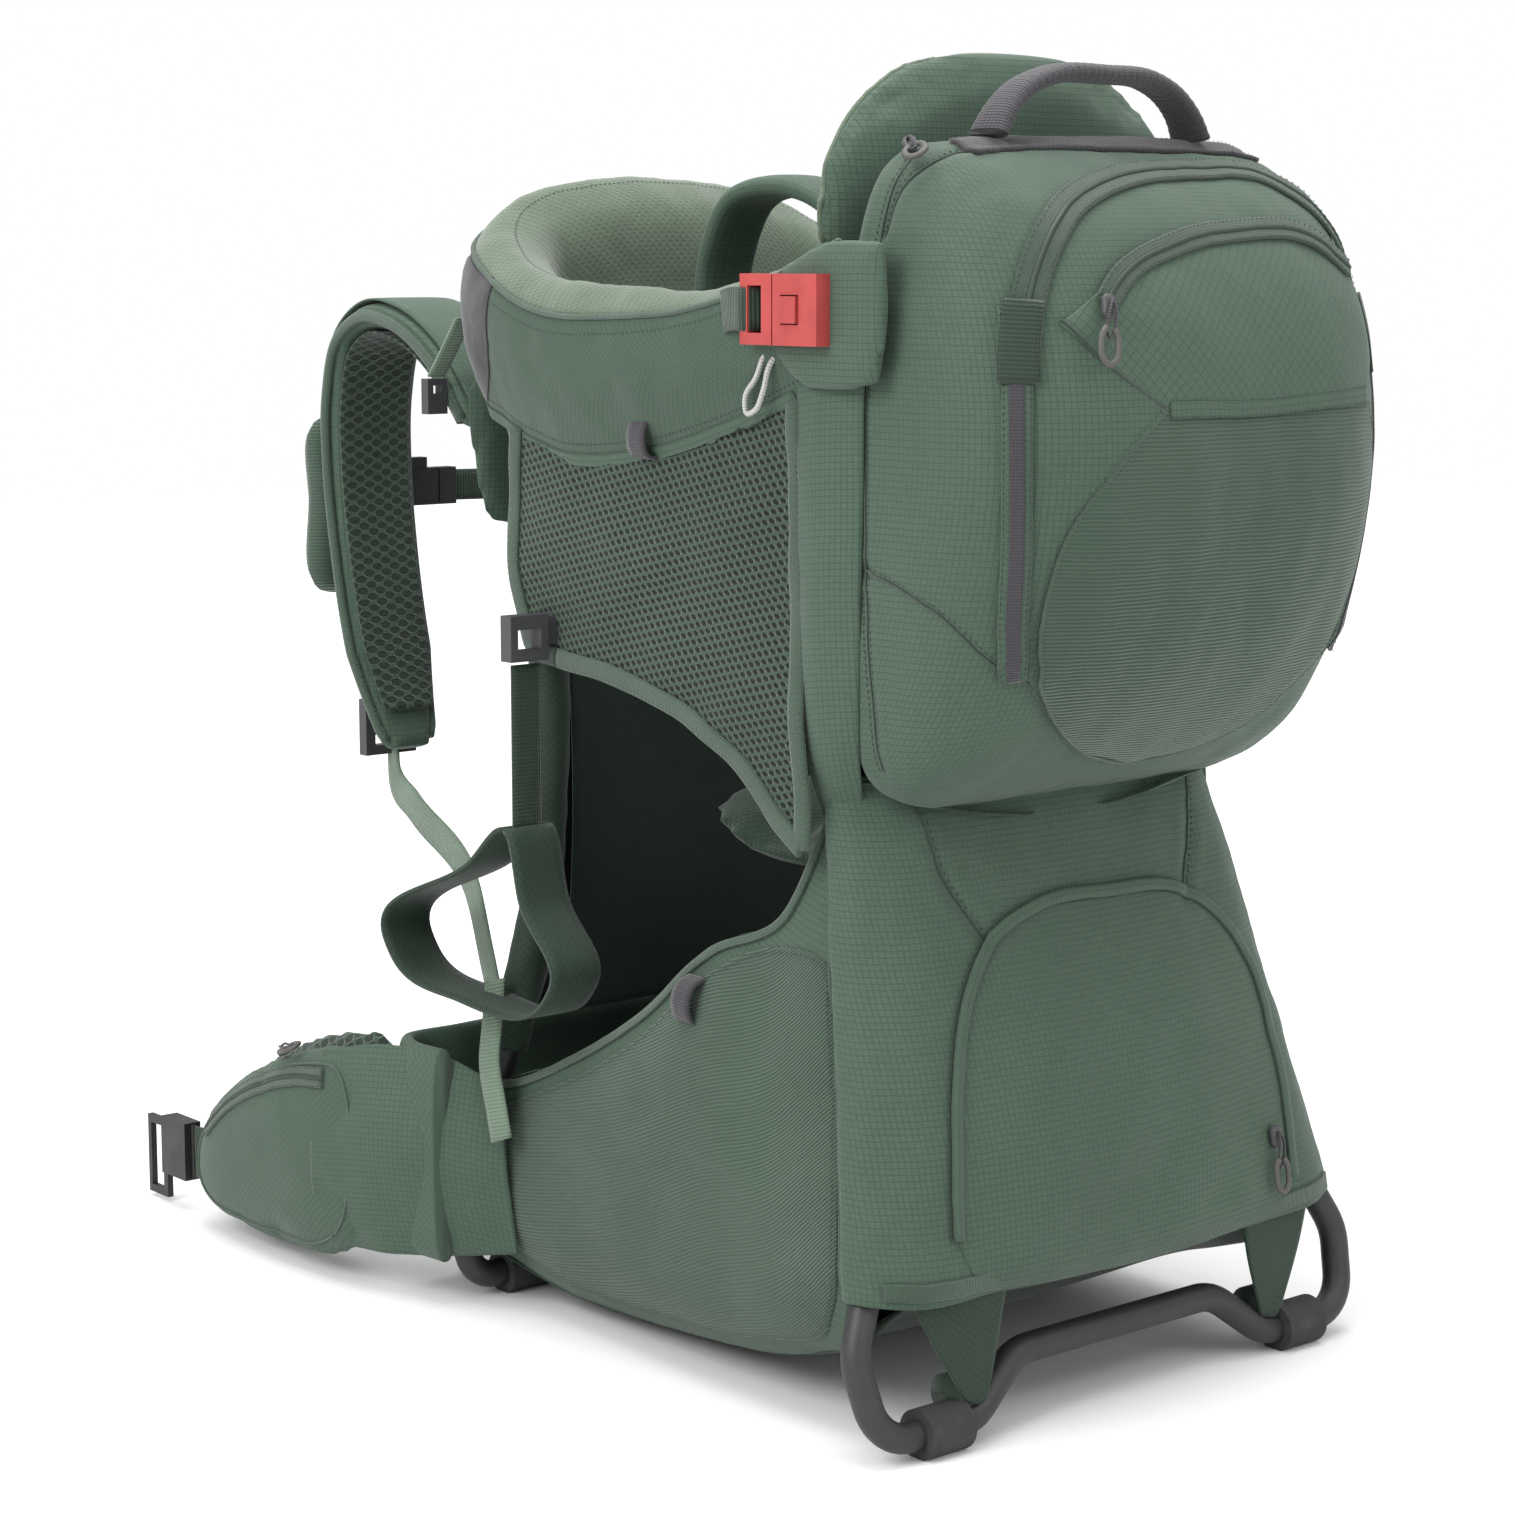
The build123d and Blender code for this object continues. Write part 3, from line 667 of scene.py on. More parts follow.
# ---------------------------------------------------------------- materials
class Shader:
    """A small helper that wires one procedural material."""

    def __init__(self, name, roughness=0.8, sheen=0.0, metallic=0.0, specular=0.3):
        self.material = bpy.data.materials.new(name)
        self.material.use_nodes = True
        self.tree = self.material.node_tree
        self.shader = self.tree.nodes["Principled BSDF"]
        self.shader.inputs["Roughness"].default_value = roughness
        self.shader.inputs["Metallic"].default_value = metallic
        self.shader.inputs["Specular IOR Level"].default_value = specular
        self.shader.inputs["Sheen Weight"].default_value = sheen
        self.shader.inputs["Sheen Roughness"].default_value = 0.45
        where = self.tree.nodes.new("ShaderNodeTexCoord")
        self.uv = where.outputs["UV"]
        self.place = where.outputs["Object"]

    def put(self, socket, value):
        if isinstance(value, bpy.types.NodeSocket):
            self.tree.links.new(value, socket)
        else:
            socket.default_value = value

    def math(self, operation, a, b=0.0, c=0.0, clamp=False):
        node = self.tree.nodes.new("ShaderNodeMath")
        node.operation = operation
        node.use_clamp = clamp
        for socket, value in zip(node.inputs, (a, b, c)):
            self.put(socket, value)
        return node.outputs[0]

    def turned(self, vector, degrees=0.0, scale=(1, 1, 1), move=(0, 0, 0)):
        node = self.tree.nodes.new("ShaderNodeMapping")
        node.inputs["Rotation"].default_value = (0, 0, math.radians(degrees))
        node.inputs["Scale"].default_value = scale
        node.inputs["Location"].default_value = move
        self.put(node.inputs["Vector"], vector)
        return node.outputs[0]

    def parts(self, vector):
        node = self.tree.nodes.new("ShaderNodeSeparateXYZ")
        self.put(node.inputs[0], vector)
        return node.outputs[0], node.outputs[1], node.outputs[2]

    def noise(self, vector, scale, detail=3.0, rough=0.5):
        node = self.tree.nodes.new("ShaderNodeTexNoise")
        node.inputs["Scale"].default_value = scale
        node.inputs["Detail"].default_value = detail
        node.inputs["Roughness"].default_value = rough
        self.put(node.inputs["Vector"], vector)
        return node.outputs["Fac"]

    def span(self, value, low, high, out_low=0.0, out_high=1.0, soft=False):
        node = self.tree.nodes.new("ShaderNodeMapRange")
        node.interpolation_type = "SMOOTHSTEP" if soft else "LINEAR"
        for key, number in (("From Min", low), ("From Max", high), ("To Min", out_low), ("To Max", out_high)):
            node.inputs[key].default_value = number
        self.put(node.inputs["Value"], value)
        return node.outputs[0]

    def blend(self, share, a, b):
        node = self.tree.nodes.new("ShaderNodeMix")
        node.data_type = "RGBA"
        self.put(node.inputs["Factor"], share)
        for socket, value in ((node.inputs[6], a), (node.inputs[7], b)):
            if isinstance(value, tuple) and len(value) == 3:
                value = value + (1.0,)
            self.put(socket, value)
        return node.outputs[2]

    def tint(self, tone, low, high, colour, dark, light):
        """The colour, from its dark share where tone is low to its light share where it is high."""
        return self.blend(self.span(tone, low, high), shade(colour, dark), shade(colour, light))

    def patches(self, scale, detail, low, high):
        """Slow variation over the whole piece, between low and high."""
        return self.span(self.noise(self.place, scale, detail), 0.3, 0.7, low, high)

    def lines(self, coordinate, pitch, width):
        """1 on lines that repeat at a pitch, 0 between them."""
        away = self.math("PINGPONG", self.math("ADD", coordinate, 10 * pitch), pitch / 2)
        return self.span(away, width * 0.3, width * 0.8, 1.0, 0.0, True)

    def finish(self, colour, height=None, strength=0.6, distance=0.0006, roughness=None):
        if isinstance(colour, tuple):
            colour = colour + (1.0,) if len(colour) == 3 else colour
        self.put(self.shader.inputs["Base Color"], colour)
        if height is not None:
            bump = self.tree.nodes.new("ShaderNodeBump")
            bump.inputs["Strength"].default_value = strength
            bump.inputs["Distance"].default_value = distance
            self.put(bump.inputs["Height"], height)
            self.put(self.shader.inputs["Normal"], bump.outputs[0])
        if roughness is not None:
            self.put(self.shader.inputs["Roughness"], roughness)
        return self.material


def shade(colour, factor):
    return tuple(c * factor for c in colour)


def woven_noise(m, vector):
    """Thread-like streaks both ways."""
    one = m.noise(m.turned(vector, 0, (1, 0.12, 1)), 1500, 2)
    two = m.noise(m.turned(vector, 0, (0.12, 1, 1)), 1500, 2)
    return m.math("ADD", one, two)


def ripstop(name, colour, turn=0.0, pitch=0.0034, line=0.0005, dark=0.72, sheen=0.12):
    """Thin nylon with a raised reinforcing grid."""
    m = Shader(name, 0.7, sheen, specular=0.25)
    uv = m.turned(m.uv, turn)
    u, v, _ = m.parts(uv)
    grid = m.math("MAXIMUM", m.lines(u, pitch, line), m.lines(v, pitch, line))
    patchy = m.patches(9, 4, 0.9, 1.1)
    thread = m.span(woven_noise(m, uv), 0.7, 1.3, 0.88, 1.12)
    tone = m.math("MULTIPLY", patchy, thread)
    share = m.span(tone, 0.75, 1.25)
    body = m.blend(share, shade(colour, 0.78), shade(colour, 1.22))
    full = m.blend(m.math("MULTIPLY", grid, 0.85), body, shade(colour, dark))
    height = m.math("MULTIPLY_ADD", grid, 0.5, m.math("MULTIPLY", woven_noise(m, uv), 0.3))
    wear = m.math("ADD", m.patches(30, 3, 0.6, 0.74), m.math("MULTIPLY", grid, 0.08))
    return m.finish(full, height, 0.5, 0.0005, wear)


def ribbed(name, colour, pitch=0.0021, turn=0.0, depth=0.9, sheen=0.3):
    """Stretch knit with fine ribs."""
    m = Shader(name, 0.85, sheen, specular=0.2)
    uv = m.turned(m.uv, turn)
    u, v, _ = m.parts(uv)
    bend = m.math("MULTIPLY_ADD", m.noise(m.turned(uv, 0, (1, 3, 1)), 14, 2), 0.0016, v)
    away = m.math("PINGPONG", m.math("ADD", bend, 10.0), pitch / 2)
    rib = m.span(away, 0.0, pitch / 2, 0.0, 1.0, True)
    patchy = m.patches(8, 4, 0.9, 1.1)
    fuzz = m.noise(uv, 2200, 2)
    tone = m.math("MULTIPLY", patchy, m.math("MULTIPLY_ADD", rib, 0.32, m.span(fuzz, 0.3, 0.7, 0.74, 0.94)))
    full = m.tint(tone, 0.55, 1.35, colour, 0.5, 1.35)
    height = m.math("MULTIPLY_ADD", rib, 1.0, m.math("MULTIPLY", fuzz, 0.25))
    return m.finish(full, height, depth, 0.0007)


def cell_distance(m, uv, width, tall):
    """Distance from the nearest centre of a staggered lattice, 1 at a cell's reach."""
    u, v, _ = m.parts(uv)
    found = []
    for shift in (0.0, 0.5):
        du = m.math("PINGPONG", m.math("ADD", u, (20 + shift) * width), width / 2)
        dv = m.math("PINGPONG", m.math("ADD", v, (20 + shift) * tall), tall / 2)
        du = m.math("DIVIDE", du, width / 2)
        dv = m.math("DIVIDE", dv, tall / 2)
        found.append(m.math("SQRT", m.math("ADD", m.math("MULTIPLY", du, du), m.math("MULTIPLY", dv, dv))))
    return m.math("MINIMUM", found[0], found[1])


def spacer_mesh(name, colour, width=0.0066, tall=0.0048, turn=0.0):
    """Knitted mesh with staggered oval holes."""
    m = Shader(name, 0.8, 0.2, specular=0.2)
    uv = m.turned(m.uv, turn)
    away = cell_distance(m, uv, width, tall)
    rim = m.span(away, 0.36, 0.6, 0.0, 1.0, True)
    thread = m.span(woven_noise(m, uv), 0.7, 1.3, 0.85, 1.15)
    patchy = m.patches(9, 3, 0.88, 1.12)
    body = m.blend(
        m.span(m.math("MULTIPLY", thread, patchy), 0.7, 1.3), shade(colour, 0.75), shade(colour, 1.25))
    full = m.blend(rim, shade(colour, 0.12), body)
    return m.finish(full, rim, 1.0, 0.0014)


def hex_mesh(name, colour, size=0.0075):
    """Air mesh with raised rings round larger cells."""
    m = Shader(name, 0.85, 0.25, specular=0.2)
    away = cell_distance(m, m.uv, size * 1.732, size)
    ring = m.span(away, 0.52, 0.68, 0.0, 1.0, True)
    dots = m.span(cell_distance(m, m.uv, 0.0026, 0.0018), 0.35, 0.6, 0.55, 1.0, True)
    patchy = m.patches(12, 3, 0.88, 1.12)
    tone = m.math("MULTIPLY", m.math("MULTIPLY", dots, patchy), m.span(ring, 0, 1, 0.5, 1.25))
    full = m.tint(tone, 0.2, 1.3, colour, 0.2, 1.7)
    return m.finish(full, m.math("MULTIPLY_ADD", ring, 1.0, m.math("MULTIPLY", dots, 0.3)), 1.0, 0.0013)


def soft_cloth(name, colour, grain=900.0, sheen=0.4, lattice=0.0):
    """Brushed liner or plain pad cloth, with an optional faint diamond lattice."""
    m = Shader(name, 0.9, sheen, specular=0.15)
    fuzz = m.noise(m.uv, grain, 3)
    patchy = m.patches(10, 4, 0.9, 1.1)
    tone = m.math("MULTIPLY", patchy, m.span(fuzz, 0.3, 0.7, 0.88, 1.12))
    height = fuzz
    if lattice:
        away = cell_distance(m, m.uv, lattice, lattice)
        dot = m.span(away, 0.25, 0.55, 0.0, 1.0, True)
        tone = m.math("MULTIPLY", tone, m.span(dot, 0, 1, 0.9, 1.04))
        height = m.math("MULTIPLY_ADD", dot, 0.7, m.math("MULTIPLY", fuzz, 0.5))
    full = m.tint(tone, 0.7, 1.3, colour, 0.72, 1.28)
    return m.finish(full, height, 0.5, 0.0006)


def webbing(name, colour, pitch=0.0022, sheen=0.25):
    """Narrow woven tape: ribs across, and rows of yarn along."""
    m = Shader(name, 0.75, sheen, specular=0.25)
    u, v, _ = m.parts(m.uv)
    rib = m.span(m.math("PINGPONG", m.math("ADD", v, 10.0), pitch / 2), 0.0, pitch / 2, 0.0, 1.0, True)
    yarn = m.span(m.math("PINGPONG", m.math("ADD", u, 10.0), 0.0008), 0.0, 0.0008, 0.0, 1.0, True)
    patchy = m.patches(20, 3, 0.9, 1.1)
    weave = m.math("ADD", m.math("MULTIPLY", rib, 0.7), m.math("MULTIPLY", yarn, 0.3))
    tone = m.math("MULTIPLY", patchy, m.span(weave, 0, 1, 0.72, 1.15))
    full = m.tint(tone, 0.6, 1.3, colour, 0.6, 1.3)
    return m.finish(full, weave, 0.8, 0.0006)


def moulded(name, colour, roughness=0.45, grain=1200.0, bump=0.25, coat=0.0):
    """Injection-moulded plastic with a fine texture and duller worn patches."""
    m = Shader(name, roughness, 0.0, specular=0.45)
    m.shader.inputs["Coat Weight"].default_value = coat
    fine = m.noise(m.place, grain, 2)
    scuff = m.noise(m.place, 60, 5, 0.65)
    full = m.tint(scuff, 0.35, 0.7, colour, 0.92, 1.1)
    rough = m.span(scuff, 0.3, 0.7, roughness - 0.06, roughness + 0.12)
    return m.finish(full, m.math("ADD", fine, m.math("MULTIPLY", scuff, 0.4)), bump, 0.0002, rough)


def coated_metal(name, colour):
    """Powder-coated tube: orange-peel texture, slight mottling, rubbed patches."""
    m = Shader(name, 0.5, 0.0, 0.35, 0.5)
    peel = m.noise(m.place, 700, 2)
    mottle = m.noise(m.place, 40, 4, 0.6)
    full = m.tint(mottle, 0.35, 0.7, colour, 0.88, 1.16)
    rough = m.span(mottle, 0.3, 0.7, 0.4, 0.58)
    return m.finish(full, peel, 0.25, 0.0003, rough)


def bright_steel(name):
    m = Shader(name, 0.3, 0.0, 1.0, 0.5)
    streak = m.noise(m.turned(m.place, 0, (1, 30, 30)), 80, 3)
    full = m.blend(streak, (0.42, 0.42, 0.43), (0.62, 0.62, 0.63))
    return m.finish(full, streak, 0.1, 0.0001, m.span(streak, 0.3, 0.7, 0.25, 0.42))


def rubber(name, colour=(0.035, 0.035, 0.036)):
    m = Shader(name, 0.8, 0.0, specular=0.3)
    speck = m.noise(m.place, 900, 3)
    dust = m.noise(m.place, 50, 4)
    full = m.blend(m.span(dust, 0.45, 0.75), colour, shade(colour, 1.9))
    return m.finish(full, speck, 0.4, 0.0004, m.span(dust, 0.3, 0.7, 0.7, 0.9))


GREEN = (0.053, 0.089, 0.062)
DEEP = (0.022, 0.040, 0.027)
PALE = (0.132, 0.185, 0.135)
OLIVE = (0.088, 0.120, 0.082)
DARK = (0.016, 0.030, 0.022)
PLUM = (0.046, 0.043, 0.049)

RIP = ripstop("ripstop", GREEN)
RIP_SLANT = ripstop("ripstop_diagonal", GREEN, 42)
RIP_DARK = ripstop("ripstop_dark", DEEP, 42)
RIP_FINE = ripstop("ripstop_fine", shade(GREEN, 0.92), 45, 0.0029, 0.00045)
RIP_DIAMOND = ripstop("ripstop_diamond", shade(GREEN, 1.04), 45, 0.0046)
RIP_BLACK = ripstop("ripstop_inside", DARK, 42, dark=0.6)
KNIT = ribbed("ribbed_stretch", shade(GREEN, 0.86))
SIDE_MESH = spacer_mesh("spacer_mesh", shade(GREEN, 0.72), 0.0088, 0.0052, 18)
STRAP_MESH = hex_mesh("strap_mesh", shade(GREEN, 0.6))
LINER = soft_cloth("brushed_liner", OLIVE, 900.0, 0.4, 0.0052)
PAD_CLOTH = soft_cloth("pad_cloth", DEEP, 1200.0, 0.3, 0.0046)
BINDING = webbing("binding_tape", shade(GREEN, 0.92), 0.0012)
TAPE = webbing("zip_tape", shade(GREEN, 0.8), 0.0011)
PALE_WEB = webbing("pale_webbing", PALE)
DARK_WEB = webbing("dark_green_webbing", DEEP)
PLUM_WEB = webbing("plum_webbing", PLUM, 0.0016)
PLUM_CLOTH = soft_cloth("plum_cloth", shade(PLUM, 0.7), 1200.0, 0.3)
GREY_CORD = webbing("grey_cord", (0.42, 0.42, 0.41), 0.0018)
THREAD = webbing("thread", shade(GREEN, 0.62), 0.0006)
COIL = moulded("zip_coil", shade(DEEP, 0.9), 0.5)
TUBE = coated_metal("powder_coat", (0.036, 0.036, 0.037))
STEEL = bright_steel("steel")
RUBBER = rubber("rubber")
BRACKET = moulded("bracket_nylon", (0.03, 0.03, 0.033), 0.55)
HARDWARE = moulded("dark_hardware", (0.05, 0.05, 0.054), 0.45)
PULL = moulded("zip_pull", (0.07, 0.067, 0.062), 0.5)
BOARD = moulded("board", (0.02, 0.02, 0.02), 0.6)
RED = moulded("red_buckle", (0.37, 0.05, 0.046), 0.42, 1400.0, 0.18, 0.08)
BLACK = moulded("black_buckle", (0.012, 0.012, 0.013), 0.42)


# ---------------------------------------------------------------- CAD nodes that stay
def paint(material, *names, bevel=0.0):
    for name in names:
        obj = nodes[name]
        obj.data.materials.clear()
        obj.data.materials.append(material)
        if bevel:
            edge = obj.modifiers.new("edge", "BEVEL")
            edge.width = bevel * MM
            edge.segments = 3
            edge.limit_method = "ANGLE"
            edge.angle_limit = math.radians(40)
            edge.harden_normals = False


paint(TUBE, "main_frame", "cockpit_hoop", "top_bar", "rear_struts", "kickstand")
paint(RUBBER, "front_feet", "rear_feet", bevel=1.0)
paint(BRACKET, "corner_joints", "hinge_brackets", bevel=1.6)
paint(STEEL, "hinge_pins", bevel=0.4)
paint(BOARD, "framesheet", bevel=0.3)
paint(HARDWARE, "strap_locks", "lifter_hooks", "stirrup_adjusters", bevel=0.7)
paint(BLACK, "sternum_socket", "sternum_plug", "hip_buckle_left", "hip_buckle_right", "chest_clip", bevel=0.8)
paint(RED, "buckle_sockets", "buckle_plug_left", "buckle_plug_right", bevel=1.8)
paint(RED, "buckle_button_left", "buckle_button_right", bevel=0.7)

SIDES = (("left", 1), ("right", -1))


def hand(points, sign):
    """A left-hand line on its own side, or mirrored to the right."""
    return np.array(points, float) if sign > 0 else flip_x(points)


def hand_grid(grid, sign):
    return grid if sign > 0 else flip_x(grid)[:, ::-1]


def looks_out(grid, sign):
    """1 where the middle of a side's grid faces away from the pack, and -1 where it faces inward."""
    middle = grid_normals(grid)[len(grid) // 2, grid.shape[1] // 2]
    return 1.0 if middle[0] * sign < 0 else -1.0


# ---------------------------------------------------------------- daypack
SEAM_Y = 46.0


def daypack_ring(z, rear, half, front, squareness=3.6):
    """One level of the daypack, from the front middle round its left to its right."""
    def quarter(depth, count, n_x, n_y):
        a = np.linspace(0, math.pi / 2, 200)
        x = -half * np.sin(a) ** (2 / n_x)
        y = SEAM_Y + depth * np.cos(a) ** (2 / n_y)
        return even(np.stack([x, y, np.full_like(x, z)], 1), count)
    front_part = quarter(front - SEAM_Y, 20, 7, 3)
    rear_part = quarter(rear - SEAM_Y, 70, squareness, squareness)[::-1]
    left = np.concatenate([front_part[:-1], rear_part])
    right = flip_x(left[1:-1])[::-1]
    return np.concatenate([left, right])


levels = [
    (318, 66, 30, 68), (321, 62, 58, 72), (326, 56, 84, 76), (333, 36, 116, 79), (342, 17, 131, 80),
    (358, -6, 140, 80), (380, -25, 144, 80), (400, -38, 147, 80), (450, -58, 150, 80),
    (500, -67, 151, 80), (550, -66, 150, 80), (600, -52, 146, 80), (628, -36, 140, 80),
    (648, -16, 132, 79), (661, 3, 122, 77), (669, 22, 108, 74), (673, 38, 84, 70), (675, 48, 50, 64),
]
day_grid = spline([daypack_ring(*level) for level in levels], 150)
left_seam = [
    (-121, 46, 668), (-134, 46, 650), (-144, 46, 610), (-151, 46, 500), (-148, 46, 420), (-138, 46, 352)]
boot_seam = [
    (-149, 46, 456), (-149, 20, 448), (-143, -10, 433), (-123, -25, 411), (-112, -29, 405),
    (-85, -22, 384)]
top_seam = [(-140, 44, 625), (-132, 40, 647), (-119, 28, 662), (-80, 22, 668), (0, 18, 672)]
day_lines = []
for _, sign in SIDES:
    day_lines += [hand(left_seam, sign), hand(boot_seam, sign), hand(top_seam, sign)]
day_grid = creased(day_grid, 1.3, 46, 3.1, (1, 1, 0.45), True)
day_grid = creased(day_grid, 0.5, 17, 8.4, (1, 1, 0.6), True)
day_grid = seamed(day_grid, day_lines, 1.6, 3.6, True)
daypack = ring_piece("daypack_body", day_grid, RIP, "pack", True)
stands_for(daypack, "daypack_shell", "ripstop")
day = Surface(day_grid, True)
for index, line in enumerate(day_lines):
    piping(f"daypack_seam_{index}", day, line, 0.8, THREAD, "pack", 0.1)
    stitches("daypack", day, line, (2.6,) if index not in (0, 3) else (2.6, -2.6))


def outline_of(*runs, count=40):
    """A closed outline from runs that meet at corners."""
    return np.concatenate([smooth(run, count)[:-1] for run in runs])


# Panel inside the long front zip.
zip_left = [
    (-122, -36, 560), (-121, -38, 586), (-108, -33, 612), (-84, -25, 634), (-34, -12, 651), (30, -4, 658)]
zip_right = [(30, -4, 658), (84, -6, 655), (112, -18, 640), (127, -20, 610), (134, -10, 560)]
front_zip = zip_left + zip_right[1:]
panel = patch(
    "daypack_front_panel", day,
    outline_of(front_zip, [(134, -10, 560), (133, -14, 500), (124, -20, 430), (96, -20, 388)],
               [(96, -20, 388), (0, -20, 380), (-100, -22, 396)],
               [(-100, -22, 396), (-118, -34, 430), (-124, -45, 500), (-122, -40, 560)]),
    (0, -60, 520), RIP, "pack", 0.6, 4.0, 26, wrinkle=1.2, size=38, seed=2.2)
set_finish(panel, "ripstop")

# The stretch pocket and the zipped pocket above it.
pocket_left = [(-53, -66, 538), (-85, -63, 510), (-105, -54, 481), (-112, -47, 451), (-110, -38, 425),
               (-96, -28, 396), (-59, -14, 366), (-7, -2, 350)]
pocket_right = [
    (-7, -2, 350), (45, -8, 356), (82, -22, 378), (108, -36, 410), (118, -42, 450), (121, -46, 500),
    (106, -56, 541)]
pocket_top = [(106, -56, 541), (59, -66, 539), (5, -68, 537), (-53, -66, 538)]
stretch_pocket = patch(
    "daypack_stretch_pocket", day, outline_of(pocket_left, pocket_right, pocket_top),
    (0, -66, 455), KNIT, "pack", 4.2, 4.0, 26, edge=2.0, wrinkle=1.0, size=44, seed=5.5)
stands_for(stretch_pocket, "daypack_pocket", "stretch")
patch(
    "daypack_upper_pocket", day,
    outline_of(
        [(-108, -47, 580), (-88, -60, 561), (-53, -66, 537)],
        [(-53, -66, 537), (5, -68, 536), (106, -57, 540)],
        [(106, -57, 540), (120, -44, 570), (112, -38, 600), (74, -36, 618)],
        [(74, -36, 618), (26, -40, 622), (-31, -44, 614), (-75, -48, 600), (-108, -47, 580)]),
    (10, -58, 580), RIP_DIAMOND, "pack", 4.0, 4.5, 22, wrinkle=1.0, size=40, seed=7.0)
tape(
    "pocket_top_hem", day, [(-52, -66, 538), (5, -68, 537), (59, -66, 539), (104, -57, 541)], 8, RIP,
    "pack", 1.4, 4.4)
stitches("daypack", day, [(-52, -66, 534), (5, -68, 533), (59, -66, 535), (104, -57, 537)], (0,), lift=6.6)
stitches("daypack", day, pocket_left, (-3.0,), lift=5.0)
piping("pocket_seam", day, pocket_left + pocket_right[1:], 1.0, BINDING, "pack", 3.4)
piping("yoke_seam", day, [(-108, -47, 582), (-88, -60, 561), (-53, -66, 538)], 1.0, THREAD, "pack", 3.8)


def zip_line(name, base, points, width, body, lift=0.0, slot_gap=1.6):
    """A zip: two tapes with turned edges, and the coil between them."""
    tape(name + "_tape", base, points, width, TAPE, body, 1.2, lift)
    line, normal = on_surface(base, points, max(8, int(length_of(smooth(points, 60)) / 2.0)), lift=lift + 1.3)
    tooth = np.arange(len(line)) % 2
    grid = tube_grid(line, slot_gap * (0.75 + 0.25 * tooth), 8, 0.6, up=normal)
    ring_piece(name + "_coil", grid, COIL, body)


zip_line("daypack_zip", day, front_zip, 17, "pack", 2.2)
stitches("daypack", day, front_zip, (7.4, -7.4), lift=3.7)
inner_zip = [
    (-84, -49, 588), (-72, -50, 601), (-31, -44, 616), (26, -40, 624), (80, -36, 620), (108, -38, 604)]
zip_line("pocket_zip", day, inner_zip, 12, "pack", 6.0)
stitches("daypack", day, inner_zip, (5.2, -5.2), lift=7.4)

# Webbing sleeve down the left of the panel, with its tab.
sleeve = [
    (-127, -36, 590), (-130, -42, 560), (-130, -43, 510), (-128, -41, 465), (-122, -32, 425),
    (-116, -26, 405)]
for name, sign in SIDES:
    tape(f"sleeve_{name}", day, hand(sleeve, sign), 15, RIP, "pack", 1.4, 1.6, crown=0.6)
    tape(f"sleeve_webbing_{name}", day, hand(sleeve[1:], sign), 7, PLUM_WEB, "pack", 1.2, 3.2)
    tape(
        f"sleeve_tab_{name}", day, hand([(-121, -36, 592), (-127, -40, 570), (-128, -41, 552)], sign), 19,
        DARK_WEB, "pack", 1.6, 3.4)
    stitches("daypack", day, hand(sleeve, sign), (6.4, -6.4), lift=3.6)


def zip_pull(name, node, body, base, down, lift):
    """A slider with a cord loop and a horseshoe grip on a zip, in place of a plain CAD slider."""
    low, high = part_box(node)
    middle = (low + high) / 2 / MM - Vector((0, FEET_Y / MM, 0))
    middle, out, _ = base.touch(middle)
    middle = middle + out * lift
    down = np.array(down, float)
    down = down - out * (down @ out)
    down /= np.linalg.norm(down)
    across = np.cross(out, down)

    def place(a, b, c):
        return middle + across * a + down * b + out * c
    slider = smooth([place(0, b, 0) for b in (-6, -3, 3, 6)], 16)
    wide = np.interp(np.linspace(0, 1, 16), [0, 0.15, 0.85, 1], [2.4, 4.2, 3.4, 2.0])
    piece = ring_piece(
        name + "_slider", tube_grid(slider, wide, 14, 0.6, up=out, superness=3.0), HARDWARE, body)
    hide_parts(node)
    cord = [
        (0, -3, 3), (1.6, 2, 4.2), (2.2, 9, 3.4), (1.6, 15, 2.4), (0, 17, 2.2), (-1.6, 15, 2.4),
        (-2.2, 9, 3.4), (-1.6, 2, 4.2), (0, -3, 3)]
    loop = smooth([place(*point) for point in cord], 50)
    ring_piece(name + "_cord", tube_grid(loop, 0.8, 8, up=out), PLUM_WEB, body)
    shoe = [
        (-2.2, 12), (-4.6, 16), (-5.2, 22), (-4, 28), (0, 31), (4, 28), (5.2, 22), (4.6, 16), (2.2, 12)]
    grip = smooth([place(a, b, 2.6) for a, b in shoe], 50)
    ring_piece(name + "_grip", tube_grid(grip, 1.8, 10, 0.8, up=out), PULL, body)


zip_pull("pocket_zip_pull", "pocket_zip_slider", "pocket_zip", day, (-0.25, 0, -1), 10.5)
zip_pull("daypack_zip_pull", "daypack_zip_slider", "daypack_zip", day, (-0.6, -1, -0.4), 3.5)

# ---------------------------------------------------------------- lower body
REAR_Z = [78, 90, 150, 200, 250, 300, 335, 350]
REAR_Y = [4, 0, 8, 20, 37, 54, 66, 72]


def rear_y(z):
    return float(np.interp(z, REAR_Z, REAR_Y))


def corner(z):
    """The seam between the rear and the side, just ahead of the kickstand arm."""
    x, y = arm(z)
    return (-(x + 3), y + 15, z)


def rear_row(z, sag=0.0):
    x, y = arm(z)
    back = rear_y(z)
    row = [
        corner(z), (-(x + 13), y + 3, z), (-(x + 11), y - 8, z),
        (-(x - 4), (y - 13 + back) / 2 - 2, z - sag * 0.4)]
    return both(row + [(-0.55 * x, back - 7, z - sag * 0.8), (0, back - 12, z - sag)])


